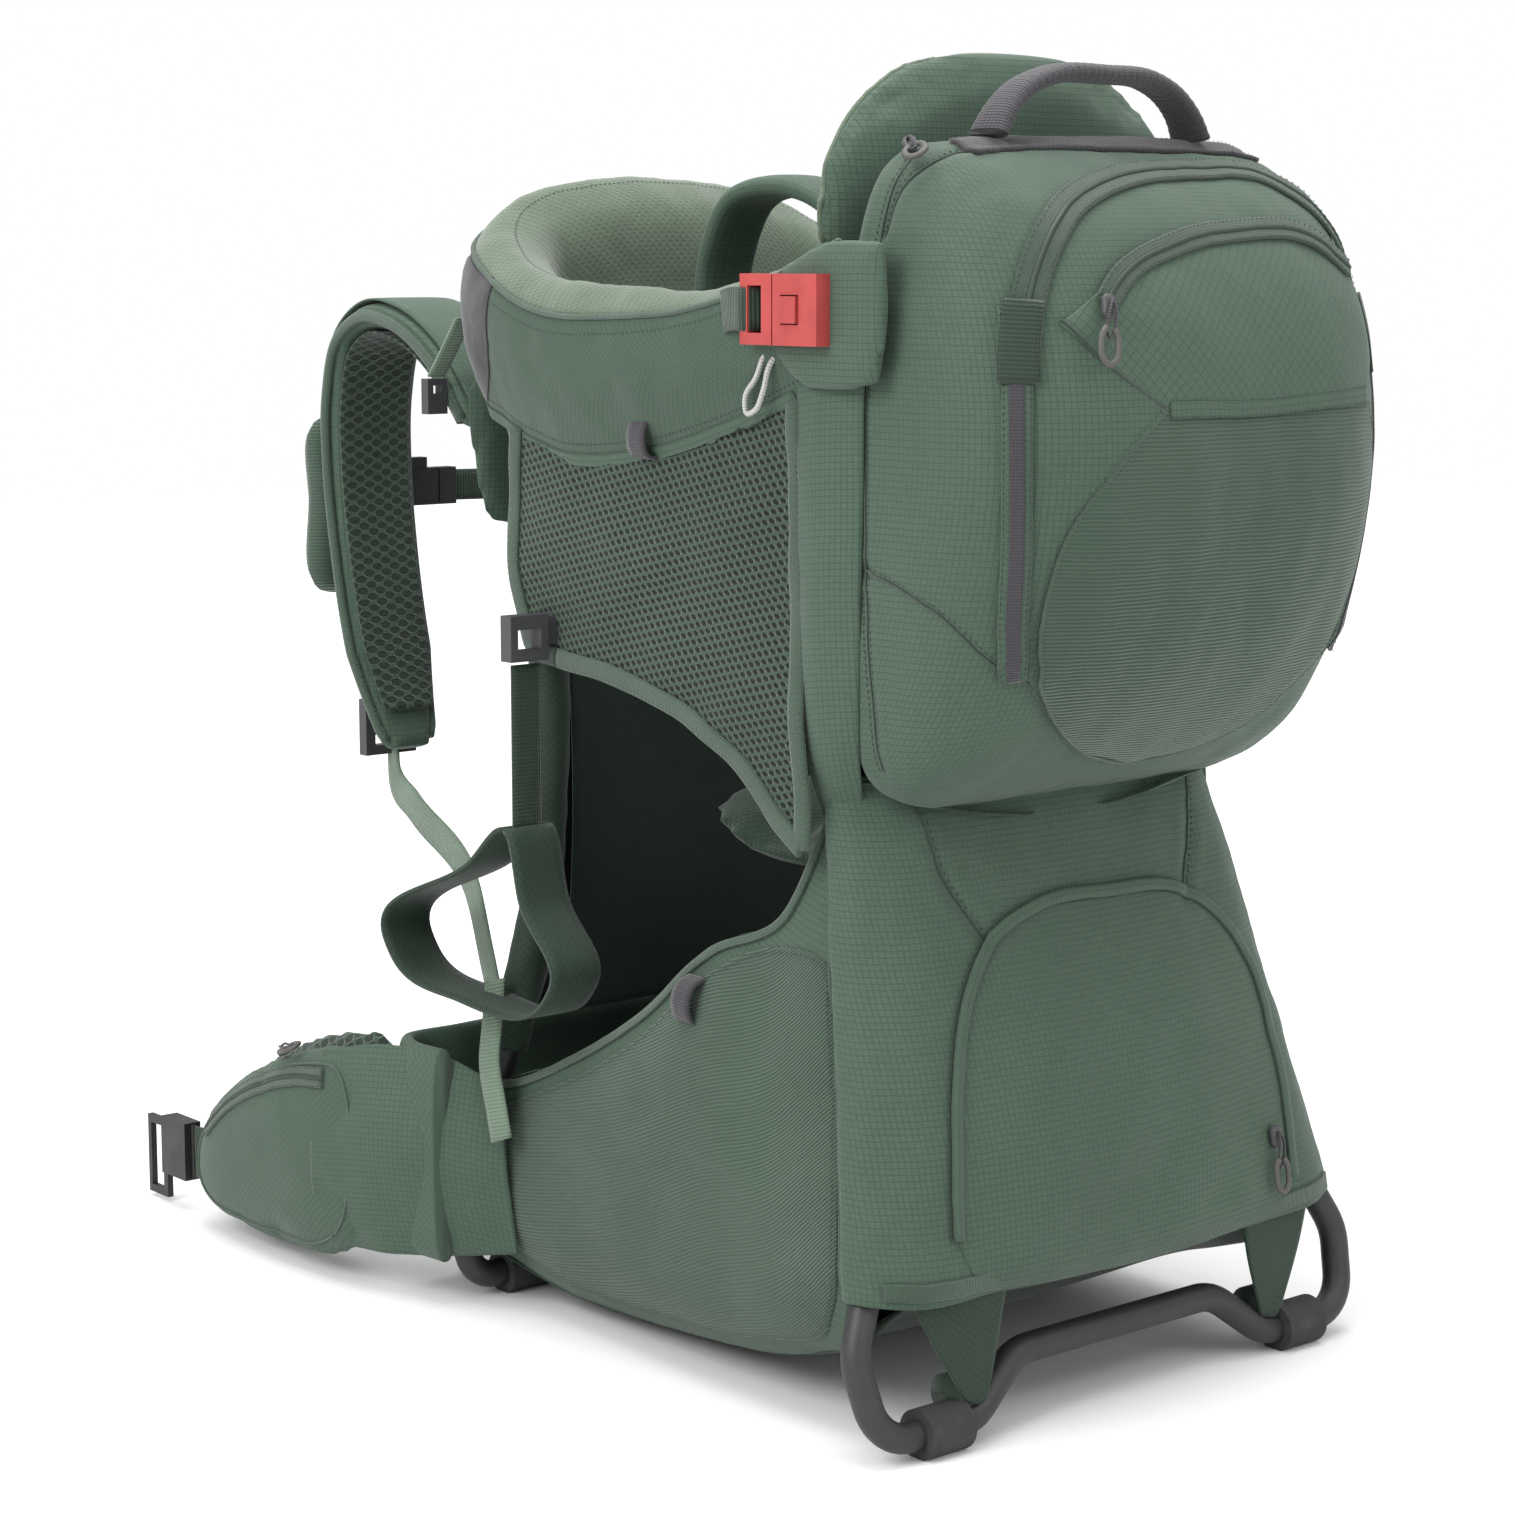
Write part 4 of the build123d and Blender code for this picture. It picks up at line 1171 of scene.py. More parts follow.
rear_levels = [84, 92, 110, 132, 156, 179, 203, 226, 250, 276, 300, 322, 345]
rear_grid = loft([rear_row(z, 6 if z == 84 else 3 if z == 92 else 0) for z in rear_levels], 150, 120)
rear_side_seam = [(-105, 90, 334), (-100, 66, 318), (-95, 48, 295), (-75, 34, 257)]
arch = [
    (-126, 4, 110), (-122, 8, 150), (-114, 15, 188), (-94, 25, 234), (-71, 32, 259), (-39, 35, 271),
    (15, 33, 273), (70, 33, 268), (100, 30, 252), (119, 24, 222), (126, 12, 176), (128, 5, 136),
    (128, 2, 100)]
rear_grid = creased(rear_grid, 2.0, 60, 12.3, (0.8, 1, 0.6))
rear_grid = creased(rear_grid, 0.7, 20, 4.4, (0.6, 1, 1))
rear_grid = seamed(rear_grid, [rear_side_seam, flip_x(rear_side_seam)], 1.8, 4)
rear = cloth_piece("rear_panel", rear_grid, RIP, None, 1.6)
rear_surface = Surface(rear_grid)
rear_pieces = [rear]
REAR_FOLD = (at(0, 60, 262), at(0, 90, 342))     # where the panel leaves the kickstand for the pack
stands_for(rear, "corner_sleeves", "ripstop")
arch_panel = patch(
    "rear_pocket_panel", rear_surface,
    outline_of(
        arch, [(128, 2, 100), (120, 2, 88), (60, -6, 84), (0, -10, 82)],
        [(0, -10, 82), (-60, -6, 84), (-118, 2, 90), (-126, 4, 110)]),
    (0, 5, 170), RIP, "kickstand", 0.8, 6.0, 30, wrinkle=2.2, size=46, seed=9.0)
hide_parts("rear_pocket")
rear_pieces += [arch_panel]
for name, sign in SIDES:
    seam = hand(rear_side_seam, sign)
    rear_pieces.append(piping(f"rear_seam_{name}", rear_surface, seam, 0.9, THREAD, None, 0.1))
    edge = hand([corner(z) for z in (88, 110, 132, 179, 226, 276, 330)], sign)
    rear_pieces.append(piping(f"corner_seam_{name}", rear_surface, edge, 1.5, BINDING, None, 0.2))
    stitches("rear", rear_surface, seam, (2.8,))
zip_pull("rear_zip_pull", "rear_zip_slider", "rear_zip", rear_surface, (0, 0, -1), 6.5)
rear_pieces.append(tape("rear_zip_flap", rear_surface, arch, 7, RIP, None, 1.6, 1.4, crown=0.8))
stitches("rear", rear_surface, arch, (4.6,), lift=1.2)
rear_pieces.append(tape(
    "rear_hem", rear_surface, [(-168, 10, 89), (-120, 2, 88), (0, -10, 83), (120, 2, 88), (168, 10, 89)],
    9, BINDING, None, 1.4, 0.2))
for piece in rear_pieces:
    if piece is not arch_panel:
        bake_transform(piece)

# Side, floor and top panels of the lower body.
side_rear = [
    (-156, 40, 48), (-168, 36, 66), corner(88), corner(132), corner(179), corner(226), corner(276),
    corner(318)]
side_top = [
    (-172, 398, 140), (-160, 357, 133), (-154, 290, 160), (-153, 221, 199), (-149, 168, 242),
    (-142, 120, 264), corner(318)]
side_front = [(-160, 378, 30), (-173, 392, 80), (-172, 398, 140)]
side_bottom = [(-160, 378, 30), (-150, 316, 15), (-142, 194, 15), (-148, 107, 28), (-156, 40, 48)]
side_grid = coons(side_bottom, side_top, side_front, side_rear, 130, 90, (-11, 0, -2), 0.8)
side_grid = creased(side_grid, 2.2, 60, 21.0, (1, 0.5, 1.1))
side_grid = creased(side_grid, 0.7, 22, 2.0, (1, 0.5, 1.2))
floor_grid = loft([
    [(-156, 40, 48), (-140, 30, 66), (-60, 8, 84), (0, 2, 86), (60, 8, 84), (140, 30, 66), (156, 40, 48)],
    [(-148, 107, 28), (-100, 105, 26), (0, 104, 24), (100, 105, 26), (148, 107, 28)],
    [(-142, 194, 15), (-90, 194, 9), (0, 194, 7), (90, 194, 9), (142, 194, 15)],
    [(-150, 316, 15), (-90, 316, 10), (0, 316, 8), (90, 316, 10), (150, 316, 15)],
    [(-160, 378, 30), (-90, 376, 26), (0, 374, 24), (90, 376, 26), (160, 378, 30)],
], 90, 80)[:, ::-1]
slope_grid = loft([
    both([(-142, 112, 264), (-80, 108, 262), (0, 106, 262)]),
    both([(-149, 168, 242), (-80, 172, 234), (0, 174, 232)]),
    both([(-153, 221, 199), (-80, 228, 188), (0, 230, 184)]),
    both([(-154, 290, 160), (-80, 296, 150), (0, 298, 146)]),
    both([(-160, 357, 133), (-80, 352, 128), (0, 350, 126)]),
], 80, 70)
slope_grid = creased(slope_grid, 2.4, 36, 14.0)
lower_pieces = []
for name, sign in SIDES:
    grid = hand_grid(side_grid, sign)
    lower_pieces.append(cloth_piece(f"lower_side_{name}", grid, RIP_SLANT, None, 1.6))
    surface = Surface(grid)
    rim = hand(
        [
            (-150, 64, 220), (-146, 84, 248), (-150, 120, 250), (-152, 168, 228), (-154, 221, 184),
            (-158, 290, 146), (-164, 350, 118), (-168, 376, 96), (-166, 372, 60), (-160, 326, 34),
            (-156, 200, 28), (-158, 110, 40), (-162, 54, 60), (-160, 42, 88), (-156, 50, 130),
            (-154, 60, 180)],
        sign)
    pocket = patch(
        f"side_stretch_pocket_{name}", surface, smooth(rim, 160, True), hand([(-165, 170, 140)], sign)[0],
        KNIT, "pack", 1.2, 5.0, 24, edge=1.6, wrinkle=1.6, size=50, seed=3.0 + sign)
    lower_pieces.append(pocket)
    if sign > 0:
        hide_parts("side_pockets")
    lower_pieces.append(tape(
        f"lower_rim_{name}", surface, hand(side_top, sign), 9, BINDING, None, 1.8, 0.3, crown=0.6))
    stitches("lower", surface, rim, (3.0,), True, lift=2.4)
    stitches("lower", surface, hand([(x, y + 2, z - 7) for x, y, z in side_top[1:-1]], sign), (0,), lift=0.4)
lower_pieces.append(cloth_piece("lower_floor", floor_grid, RIP_DARK, None, 1.6))
lower_pieces.append(cloth_piece("lower_slope", slope_grid, RIP_DARK, None, 1.2))
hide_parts("lower_body")

# Strut covers between the daypack and the mesh panels, and the lining behind the child.
gusset_rear = [(-124, 76, 326), (-140, 60, 360), (-149, 50, 430), (-151, 46, 500), (-151, 46, 566)]
gusset_front = [corner(318), (-144, 95, 350), (-150, 97, 420), (-152, 97, 500), (-153, 98, 560)]
gusset_grid = coons(
    [gusset_front[0], (-130, 88, 320), gusset_rear[0]],
    [gusset_front[-1], (-156, 72, 566), gusset_rear[-1]], gusset_front, gusset_rear, 30, 90, (-5, 0, 0),
    0.6)
gusset_grid = creased(gusset_grid, 1.3, 34, 6.0, (1, 1, 0.5))
lining_grid = loft([
    both([(-118, 100, 262), (-60, 104, 262), (0, 106, 262)]),
    both([(-118, 98, 330), (-60, 102, 330), (0, 103, 330)]),
    both([(-130, 92, 420), (-60, 96, 420), (0, 96, 420)]),
    both([(-140, 84, 540), (-60, 90, 540), (0, 90, 540)]),
    both([(-140, 82, 610), (-60, 88, 616), (0, 88, 616)]),
], 60, 80)[:, ::-1]
for name, sign in SIDES:
    cover = cloth_piece(f"strut_cover_{name}", hand_grid(gusset_grid, sign), RIP, "pack", 1.4)
    cover_surface = Surface(hand_grid(gusset_grid, sign))
    piping(f"strut_seam_{name}", cover_surface, hand(gusset_front, sign), 1.4, BINDING, "pack", 0.4)
    stitches("daypack", cover_surface, hand([(x, y - 4, z) for x, y, z in gusset_front[1:]], sign), (0,))
cloth_piece("cockpit_lining", lining_grid, RIP_BLACK, "pack", 1.4)
cloth_piece(
    "back_lining",
    loft(
        [
            both([(-116, 356, 168), (0, 358, 168)]), both([(-116, 344, 250), (0, 346, 250)]),
            both([(-116, 342, 330), (0, 344, 330)]), both([(-116, 352, 430), (0, 356, 430)]),
            both([(-116, 372, 530), (0, 374, 530)])],
        60, 80)[:, ::-1],
    RIP_BLACK, "pack", 1.2, outward=1.0)

# ---------------------------------------------------------------- side mesh panels
mesh_outline = [
    (-152, 97, 541), (-152, 96, 480), (-151, 95, 416), (-149, 94, 350), (-147, 93, 306), (-148, 112, 320),
    (-150, 129, 337), (-151, 180, 366), (-151, 251, 384), (-149, 302, 388), (-144, 330, 392),
    (-142, 341, 420), (-143, 347, 463), (-148, 343, 516), (-151, 305, 505), (-152, 250, 503),
    (-152, 214, 507), (-152, 150, 524)]
mesh_rim = smooth(mesh_outline[:5], 60)[:-1]
mesh_rim = np.concatenate([mesh_rim, smooth(mesh_outline[4:10], 60)[:-1], smooth(mesh_outline[9:14], 30)[:-1],
                           smooth(mesh_outline[13:] + mesh_outline[:1], 60)[:-1]])
mesh_plane = coons(
    [(-152, 360, 290), (-150, 80, 290)], [(-150, 360, 560), (-152, 80, 560)],
    [(-152, 360, 290), (-150, 360, 560)], [(-150, 80, 290), (-152, 80, 560)], 90, 80, (-4, 0, 0))
mesh_plane = creased(mesh_plane, 3.0, 50, 17.0, (1, 0.7, 1.0))
for name, sign in SIDES:
    grid = hand_grid(mesh_plane, sign)
    surface = Surface(grid)
    rim = hand(mesh_rim, sign)
    panel = patch(
        f"side_mesh_{name}", surface, rim, hand([(-154, 215, 440)], sign)[0], SIDE_MESH, "pack", 0.6, 1.2,
        24, edge=0.3)
    if sign > 0:
        stands_for(panel, "side_meshes", "mesh")
    for k, run in enumerate((mesh_outline[:5], mesh_outline[4:10], mesh_outline[9:14])):
        tape(f"mesh_binding_{name}_{k}", surface, hand(run, sign), 11, BINDING, "pack", 1.6, 0.8, crown=0.7)
        stitches("daypack", surface, hand(run, sign), (3.6,), lift=2.6)

# Fabric sleeves round the tubes of the back, and the strip between them and the mesh.
sleeve_path = smooth(
    [
        (-128, 378, 556), (-128, 371, 530), (-131, 350, 450), (-134, 339, 340), (-139, 345, 235),
        (-150, 361, 152)],
    140)
strip_rear = [(-150, 346, 516), (-146, 338, 463), (-145, 330, 420), (-147, 318, 388)]
strip_front = [(-142, 378, 540), (-142, 360, 500), (-144, 344, 450), (-146, 330, 392)]
strip = coons(
    [strip_front[-1], strip_rear[-1]], [strip_front[0], strip_rear[0]], strip_front[::-1],
    strip_rear[::-1], 14, 70, (-3, 0, 0), 0.6)
strip = creased(strip, 1.2, 26, 51.0, (1, 1, 0.5))
for name, sign in SIDES:
    tube_cloth = tube_grid(hand(sleeve_path, sign), 11.4, 32, up=(0, 1, 0))
    tube_cloth = creased(tube_cloth, 1.1, 16, 44.0 + sign, (1, 1, 0.6), True)
    ring_piece(f"frame_sleeve_{name}", tube_cloth, RIP_DARK, "pack", True)
    grid = hand_grid(strip, sign)
    cloth_piece(
        f"frame_strip_{name}", grid, RIP, "pack", 1.4,
        outward=looks_out(grid, sign))
    strip_surface = Surface(grid, outward=looks_out(grid, sign))
    stitches("daypack", strip_surface, hand([(x, y + 4, z) for x, y, z in strip_rear], sign), (0,))

# ---------------------------------------------------------------- cockpit collar and front pad
# Each station runs from the outside hem, over the rolled rim, to the inside hem.
stations = [
    [
        (-151, 64, 552), (-163, 64, 588), (-163, 62, 614), (-155, 62, 623), (-144, 64, 614),
        (-139, 68, 556)],
    [
        (-153, 129, 528), (-167, 129, 566), (-167, 129, 592), (-158, 129, 601), (-146, 129, 594),
        (-137, 129, 540)],
    [
        (-153, 231, 502), (-170, 231, 550), (-168, 231, 587), (-158, 231, 598), (-142, 231, 590),
        (-132, 231, 534)],
    [
        (-151, 305, 500), (-168, 305, 550), (-166, 306, 590), (-156, 306, 602), (-138, 304, 595),
        (-128, 300, 536)],
    [
        (-146, 352, 512), (-160, 356, 560), (-158, 358, 602), (-146, 356, 615), (-128, 346, 608),
        (-118, 336, 545)],
    [
        (-130, 398, 524), (-142, 406, 572), (-136, 406, 618), (-128, 398, 632), (-114, 378, 624),
        (-108, 360, 552)],
    [
        (-100, 414, 530), (-104, 427, 582), (-102, 424, 632), (-99, 412, 648), (-94, 392, 636),
        (-92, 374, 560)],
    [
        (-50, 416, 532), (-50, 430, 586), (-50, 430, 642), (-50, 414, 658), (-50, 392, 646),
        (-50, 374, 564)],
    [(0, 416, 532), (0, 430, 586), (0, 430, 644), (0, 414, 660), (0, 391, 648), (0, 374, 564)]]
ring = [smooth(station, 60) for station in stations]
ring = ring + [flip_x(station) for station in ring[-2::-1]]
collar_grid = spline(ring, 260)
# Rows run over the rim and columns from the left rear round the front to the right rear.
collar_grid = collar_grid.transpose(1, 0, 2)
collar_grid = collar_grid[:, ::-1] if grid_normals(collar_grid)[10, 60][0] > 0 else collar_grid
collar_grid = creased(collar_grid, 1.7, 52, 31.0, (1, 1, 0.6))
collar_grid = creased(collar_grid, 0.6, 15, 35.0)
first_liner_row = 27
collar_outer = cloth_piece("collar_outer", collar_grid[:first_liner_row + 1], RIP_FINE, "pack", 1.6)
collar_liner = cloth_piece("collar_liner", collar_grid[first_liner_row:], LINER, "pack", 1.8)
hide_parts("collars")
stands_for(collar_liner, "front_pad")
collar = Surface(collar_grid)
rim_line = collar_grid[first_liner_row]
piping("collar_binding", collar, rim_line[::10], 1.7, BINDING, "pack", 0.5)
tape("collar_hem", collar, collar_grid[1][::10], 8, RIP, "pack", 1.0, 0.2)
stitches("daypack", collar, collar_grid[4][::8], (0,))
stitches("daypack", collar, collar_grid[first_liner_row - 3][::8], (0,))
stitches("daypack", collar, collar_grid[first_liner_row + 8][::8], (0,))
for name, sign in SIDES:
    rim = hand([(-140, 402, 612), (-156, 372, 604), (-162, 352, 602), (-160, 354, 580), (-152, 366, 545),
                (-142, 392, 528), (-138, 402, 560)], sign)
    patch(
        f"collar_corner_{name}", collar, smooth(rim, 90, True), hand([(-152, 380, 574)], sign)[0],
        PLUM_CLOTH, "pack", 0.9, 1.4, 14)

# Thick tabs that carry the cockpit buckles.
for name, sign in SIDES:
    tab = pad_mesh(
        f"buckle_tab_{name}",
        hand(
            outline_of(
                [(-160, 22, 622), (-160, 60, 622), (-160, 104, 606)],
                [(-160, 104, 606), (-160, 106, 566)],
                [(-160, 106, 566), (-160, 84, 549), (-160, 26, 549)],
                [(-160, 26, 549), (-160, 20, 580), (-160, 22, 622)]),
            sign),
        (1, 0, 0), 12, RIP, 12, 7.0)
    finish_pad(tab, "pack", FROM_THE_SIDE, (4.0, 3.0, 1.0))

# Webbing from each red plug on to the collar, and the pale tails that hang beside the lower body.
plug_low, plug_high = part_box("buckle_plug_left")
plug_y = plug_high.y / MM - FEET_Y / MM
plug_z = (plug_high.z + plug_low.z) / 2 / MM
for name, sign in SIDES:
    line = [
        (-169 * sign, plug_y - 9, plug_z), (-177 * sign, plug_y - 4, plug_z),
        (-175 * sign, plug_y + 8, plug_z), (-170 * sign, plug_y + 22, plug_z - 2)]
    web = ribbon(f"buckle_webbing_{name}", line, 22, DARK_WEB, None, (-sign, 0, 0), 1.3, 30)
    at(0, plug_y - 2, plug_z)
    at(0, plug_y + 22, plug_z)
    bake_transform(web)
    tail = [
        (-166 * sign, 352, 196), (-172 * sign, 347, 172), (-178 * sign, 342, 150),
        (-182 * sign, 330, 126), (-184 * sign, 322, 108)]
    ribbon(f"webbing_tail_{name}", tail, 15, PALE_WEB, "pack", (-sign, -0.2, 0.3), 1.3, 40)


def cord_loop(name, points, radius, material, body, count=50):
    """A short sewn cord or tape loop."""
    line = smooth(points, count)
    grid = tube_grid(line, radius, 10, up=(1, 0, 0.01))
    return ring_piece(name, grid, material, body)


for name, sign in SIDES:
    cord_loop(
        f"collar_loop_{name}",
        hand(
            [
                (-160, 101, 566), (-164, 103, 560), (-164, 110, 544), (-163, 117, 535), (-163, 124, 533),
                (-164, 124, 541), (-164, 115, 552), (-164, 108, 564), (-160, 106, 570)],
            sign),
        1.5, GREY_CORD, "pack")
    for k, (y, z, x) in enumerate(((217, 517, -157), (175, 212, -161))):
        loop = [(x + 5, y, z + 14), (x - 4, y, z + 10), (x - 8, y, z), (x - 5, y, z - 10), (x + 4, y, z - 13)]
        ring = ribbon(f"side_loop_{name}_{k}", hand(loop, sign), 15, PLUM_WEB, "pack", (-sign, 0, 0), 1.6, 30)
        if k:
            lower_pieces.append(ring)

# ---------------------------------------------------------------- headrest
head_outline = smooth(
    both([
        (-126, 100, 594), (-136, 100, 618), (-137, 100, 643), (-129, 101, 668), (-114, 102, 689),
        (-98, 103, 703), (-79, 104, 714), (-36, 104, 724), (0, 104, 726)]) + [
        (64, 100, 590), (-64, 100, 590)],
    120, True)
headrest = pad_mesh("headrest_pad", head_outline, (0, 1, 0), 22, RIP, 12, 3.2)
finish_pad(headrest, "headrest", FROM_BEHIND, (5.0, 4.0, 5.0), node="headrest", slot="ripstop")
piping(
    "headrest_binding", MeshSurface(headrest), flip_x(head_outline[::4]) + (0, 9, 0), 1.8, LINER,
    "headrest", 0.4, True)

# ---------------------------------------------------------------- haul handle
handle_line = smooth(
    [
        (-82, 30, 675), (-76, 30, 684), (-62, 30, 697), (-42, 30, 705), (0, 30, 707), (32, 30, 705),
        (50, 30, 697), (62, 30, 685), (67, 30, 675)],
    110)
share = np.linspace(-1, 1, 110)
handle_width = 11.0 + 2.5 * np.abs(share) ** 5 + 0.2 * np.cos(np.arange(110) * math.pi / 1.5)
handle_flat = 0.46 - 0.16 * np.abs(share) ** 5
handle_up = np.cross(np.gradient(handle_line, axis=0), (0, 1, 0))
handle = ring_piece(
    "haul_handle_webbing", tube_grid(handle_line, handle_width, 18, handle_flat, handle_up, 2.6),
    PLUM_WEB, "handle")
stands_for(handle, "haul_handle", "dark_webbing")
base_line = [
    (-104, 28, 665), (-84, 26, 668), (-40, 26, 673), (0, 26, 674), (40, 26, 673), (84, 26, 668),
    (104, 28, 665)]
anchor = tape("handle_base_webbing", day, base_line, 22, PLUM_WEB, "pack", 1.8, 0.8)
stands_for(anchor, "handle_anchors", "dark_webbing")
stitches("daypack", day, base_line, (8.5, -8.5), lift=2.8)

# ---------------------------------------------------------------- child harness and seat
harness_line = [
    (122, 500), (124, 560), (136, 612), (168, 640), (214, 652), (252, 644), (272, 612), (274, 560),
    (262, 480), (250, 410)]
for name, sign in SIDES:
    line = smooth([(-56 * sign, y, z) for y, z in harness_line], 120)
    pad = ring_piece(
        f"child_shoulder_pad_{name}",
        tube_grid(line, 19, 20, 0.33, up=np.cross(np.gradient(line, axis=0), (1, 0, 0)), superness=3.0),
        RIP, "pack")
    if sign > 0:
        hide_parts("child_harness")
seat_pad = pad_mesh(
    "child_seat_pad",
    smooth(
        both([(-74, 128, 300), (-80, 200, 280), (-70, 270, 292), (-40, 290, 300), (0, 292, 300)]) + [
            (50, 124, 305), (0, 122, 306), (-50, 124, 305)],
        100, True),
    (0, 0, 1), 16, PAD_CLOTH, 10, 3.0)
finish_pad(seat_pad, "seat", FROM_ABOVE, (5.0, 4.0, 5.0), node="child_seat", slot="dark_cloth")

# ---------------------------------------------------------------- wearer's harness
strap_line = [
    (439, 512), (456, 536), (482, 558), (515, 573), (548, 576), (574, 561), (587, 525), (588, 480),
    (582, 430), (570, 375), (554, 328), (544, 304)]
for name, sign in SIDES:
    line = smooth([(-94 * sign, y, z) for y, z in strap_line], 150)
    taper = np.interp(np.linspace(0, 1, 150), [0, 0.06, 0.5, 0.85, 0.97, 1], [27, 31, 31, 29, 20, 14])
    up = np.cross(np.gradient(line, axis=0), (1, 0, 0))
    strap = ring_piece(
        f"shoulder_pad_{name}", tube_grid(line, taper, 40, 8.0 / taper, up=up, superness=3.4), RIP, None)
    finish_pad(strap, "harness", FROM_BEHIND, (4.5, 3.0, 2.0), node=f"shoulder_strap_{name}",
               slot="ripstop")
    # Air mesh on the side that faces the wearer, and a binding round the edge.
    normal = up / np.linalg.norm(up, axis=1, keepdims=True)
    for k, face in enumerate((1, -1)):
        across = np.linspace(-0.84, 0.84, 13)
        grid = line[:, None] + np.array([1.0, 0, 0]) * (across[None] * taper[:, None])[..., None]
        rise = 10.2 + 0.8 * (1 - across[None] ** 4)
        grid = grid + face * normal[:, None] * rise[..., None]
        facing = np.sum(grid_normals(grid)[70, 6] * normal[70]) * face
        piece = cloth_piece(
            f"strap_face_{name}_{k}", grid[3:-8], STRAP_MESH if k == 0 else RIP, "harness", 1.2,
            outward=1.0 if facing > 0 else -1.0)
    for k in (-1, 1):
        edge = line + np.array([1.0, 0, 0]) * (k * taper * 0.99)[:, None]
        ring_piece(
            f"strap_edge_{name}_{k + 1}", tube_grid(edge[2:-2], 2.6, 8, 1.5, up=normal[2:-2]), BINDING,
            "harness")

lower_line = [
    (-95, 563, 302), (-97, 559, 286), (-108, 520, 270), (-128, 432, 238), (-142, 396, 202),
    (-150, 374, 172), (-152, 366, 150)]
for name, sign in SIDES:
    web = ribbon(f"lower_webbing_{name}", hand(lower_line, sign), 19, PALE_WEB, None, (-sign, 0.3, 0.2))
    at(0, 556, 286)
    at(0, 380, 180)
    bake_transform(web)
    lifter = ribbon(
        f"load_lifter_{name}", hand([(-134, 421, 578), (-134, 436, 560), (-134, 451, 543)], sign), 12,
        PALE_WEB, None, (0, 1, 1))
    at(0, 421, 577)
    at(0, 449, 546)
    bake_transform(lifter)
    if sign > 0:
        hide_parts("lower_webbings")
        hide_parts("load_lifters")

strap_pocket = pad_mesh(
    "strap_pocket_pouch",
    smooth(
        [
            (-122, 603, 402), (-92, 603, 402), (-88, 604, 460), (-92, 604, 510), (-122, 604, 510),
            (-126, 604, 460)],
        90, True),
    (0, 1, 0), 24, KNIT, 12, 2.6)
finish_pad(strap_pocket, "harness", FROM_BEHIND, node="strap_pocket", slot="stretch")
yoke_pad = pad_mesh(
    "harness_yoke_pad",
    smooth(
        both([(-108, 437, 452), (-124, 437, 500), (-124, 437, 540), (-98, 437, 554), (0, 437, 554)]) + [
            (60, 437, 450), (-60, 437, 450)],
        110, True),
    (0, 1, 0), 9, RIP, 10, 4.0)
finish_pad(yoke_pad, "harness", FROM_BEHIND, (5.0, 2.0, 2.0), node="harness_yoke")
sternum = ribbon(
    "sternum_strap", [(-20, 601, 465), (40, 601, 464), (110, 601, 465)], 20, DARK_WEB, "sternum_right",
    (0, 1, 0))
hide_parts("sternum_webbing")

# ---------------------------------------------------------------- back panel
back_face = [(417, 540), (404, 500), (390, 440), (380, 380), (376, 320), (378, 250), (390, 190), (402, 166)]
back_rows = []
for y, z in back_face[::-1]:
    back_rows.append([
        (118, y - 12, z), (112, y - 3, z), (80, y, z), (16, y, z), (4, y - 7, z), (-4, y - 7, z),
        (-16, y, z), (-80, y, z), (-112, y - 3, z), (-118, y - 12, z)])
back_grid = creased(loft(back_rows, 90, 120), 1.2, 30, 40.0)
back_pad = cloth_piece("back_pad_face", back_grid, STRAP_MESH, "pack", 8.0)
stands_for(back_pad, "back_panel")

# ---------------------------------------------------------------- hip belt
belt_line = [
    (-196, 362, 92), (-197, 392, 92), (-190, 408, 92), (-150, 412, 92), (0, 412, 92), (150, 412, 92),
    (190, 408, 92), (197, 392, 92), (196, 362, 92)]
belt_path = smooth(belt_line, 150)
belt_back = ring_piece(
    "hip_belt_wrap",
    tube_grid(
        belt_path, 64, 44, 8.0 / 64, up=np.cross(np.gradient(belt_path, axis=0), (0, 0, 1)), superness=3.0),
    RIP_SLANT, "pack")
stands_for(belt_back, "hip_belt_back")
wing_outline = [
    (420, 28), (420, 154), (470, 150), (515, 136), (570, 108), (610, 72), (627, 56), (628, 24), (610, 12),
    (570, 6), (500, 6), (450, 14)]
pocket_shape = [
    (432, 24), (432, 146), (470, 143), (513, 130), (565, 103), (600, 73), (611, 55), (611, 26), (596, 14),
    (560, 8), (500, 8), (455, 13)]
rim_shape = [
    (440, 30), (440, 138), (472, 134), (513, 122), (562, 97), (594, 70), (603, 54), (603, 28), (592, 20),
    (560, 14), (500, 14), (460, 19)]
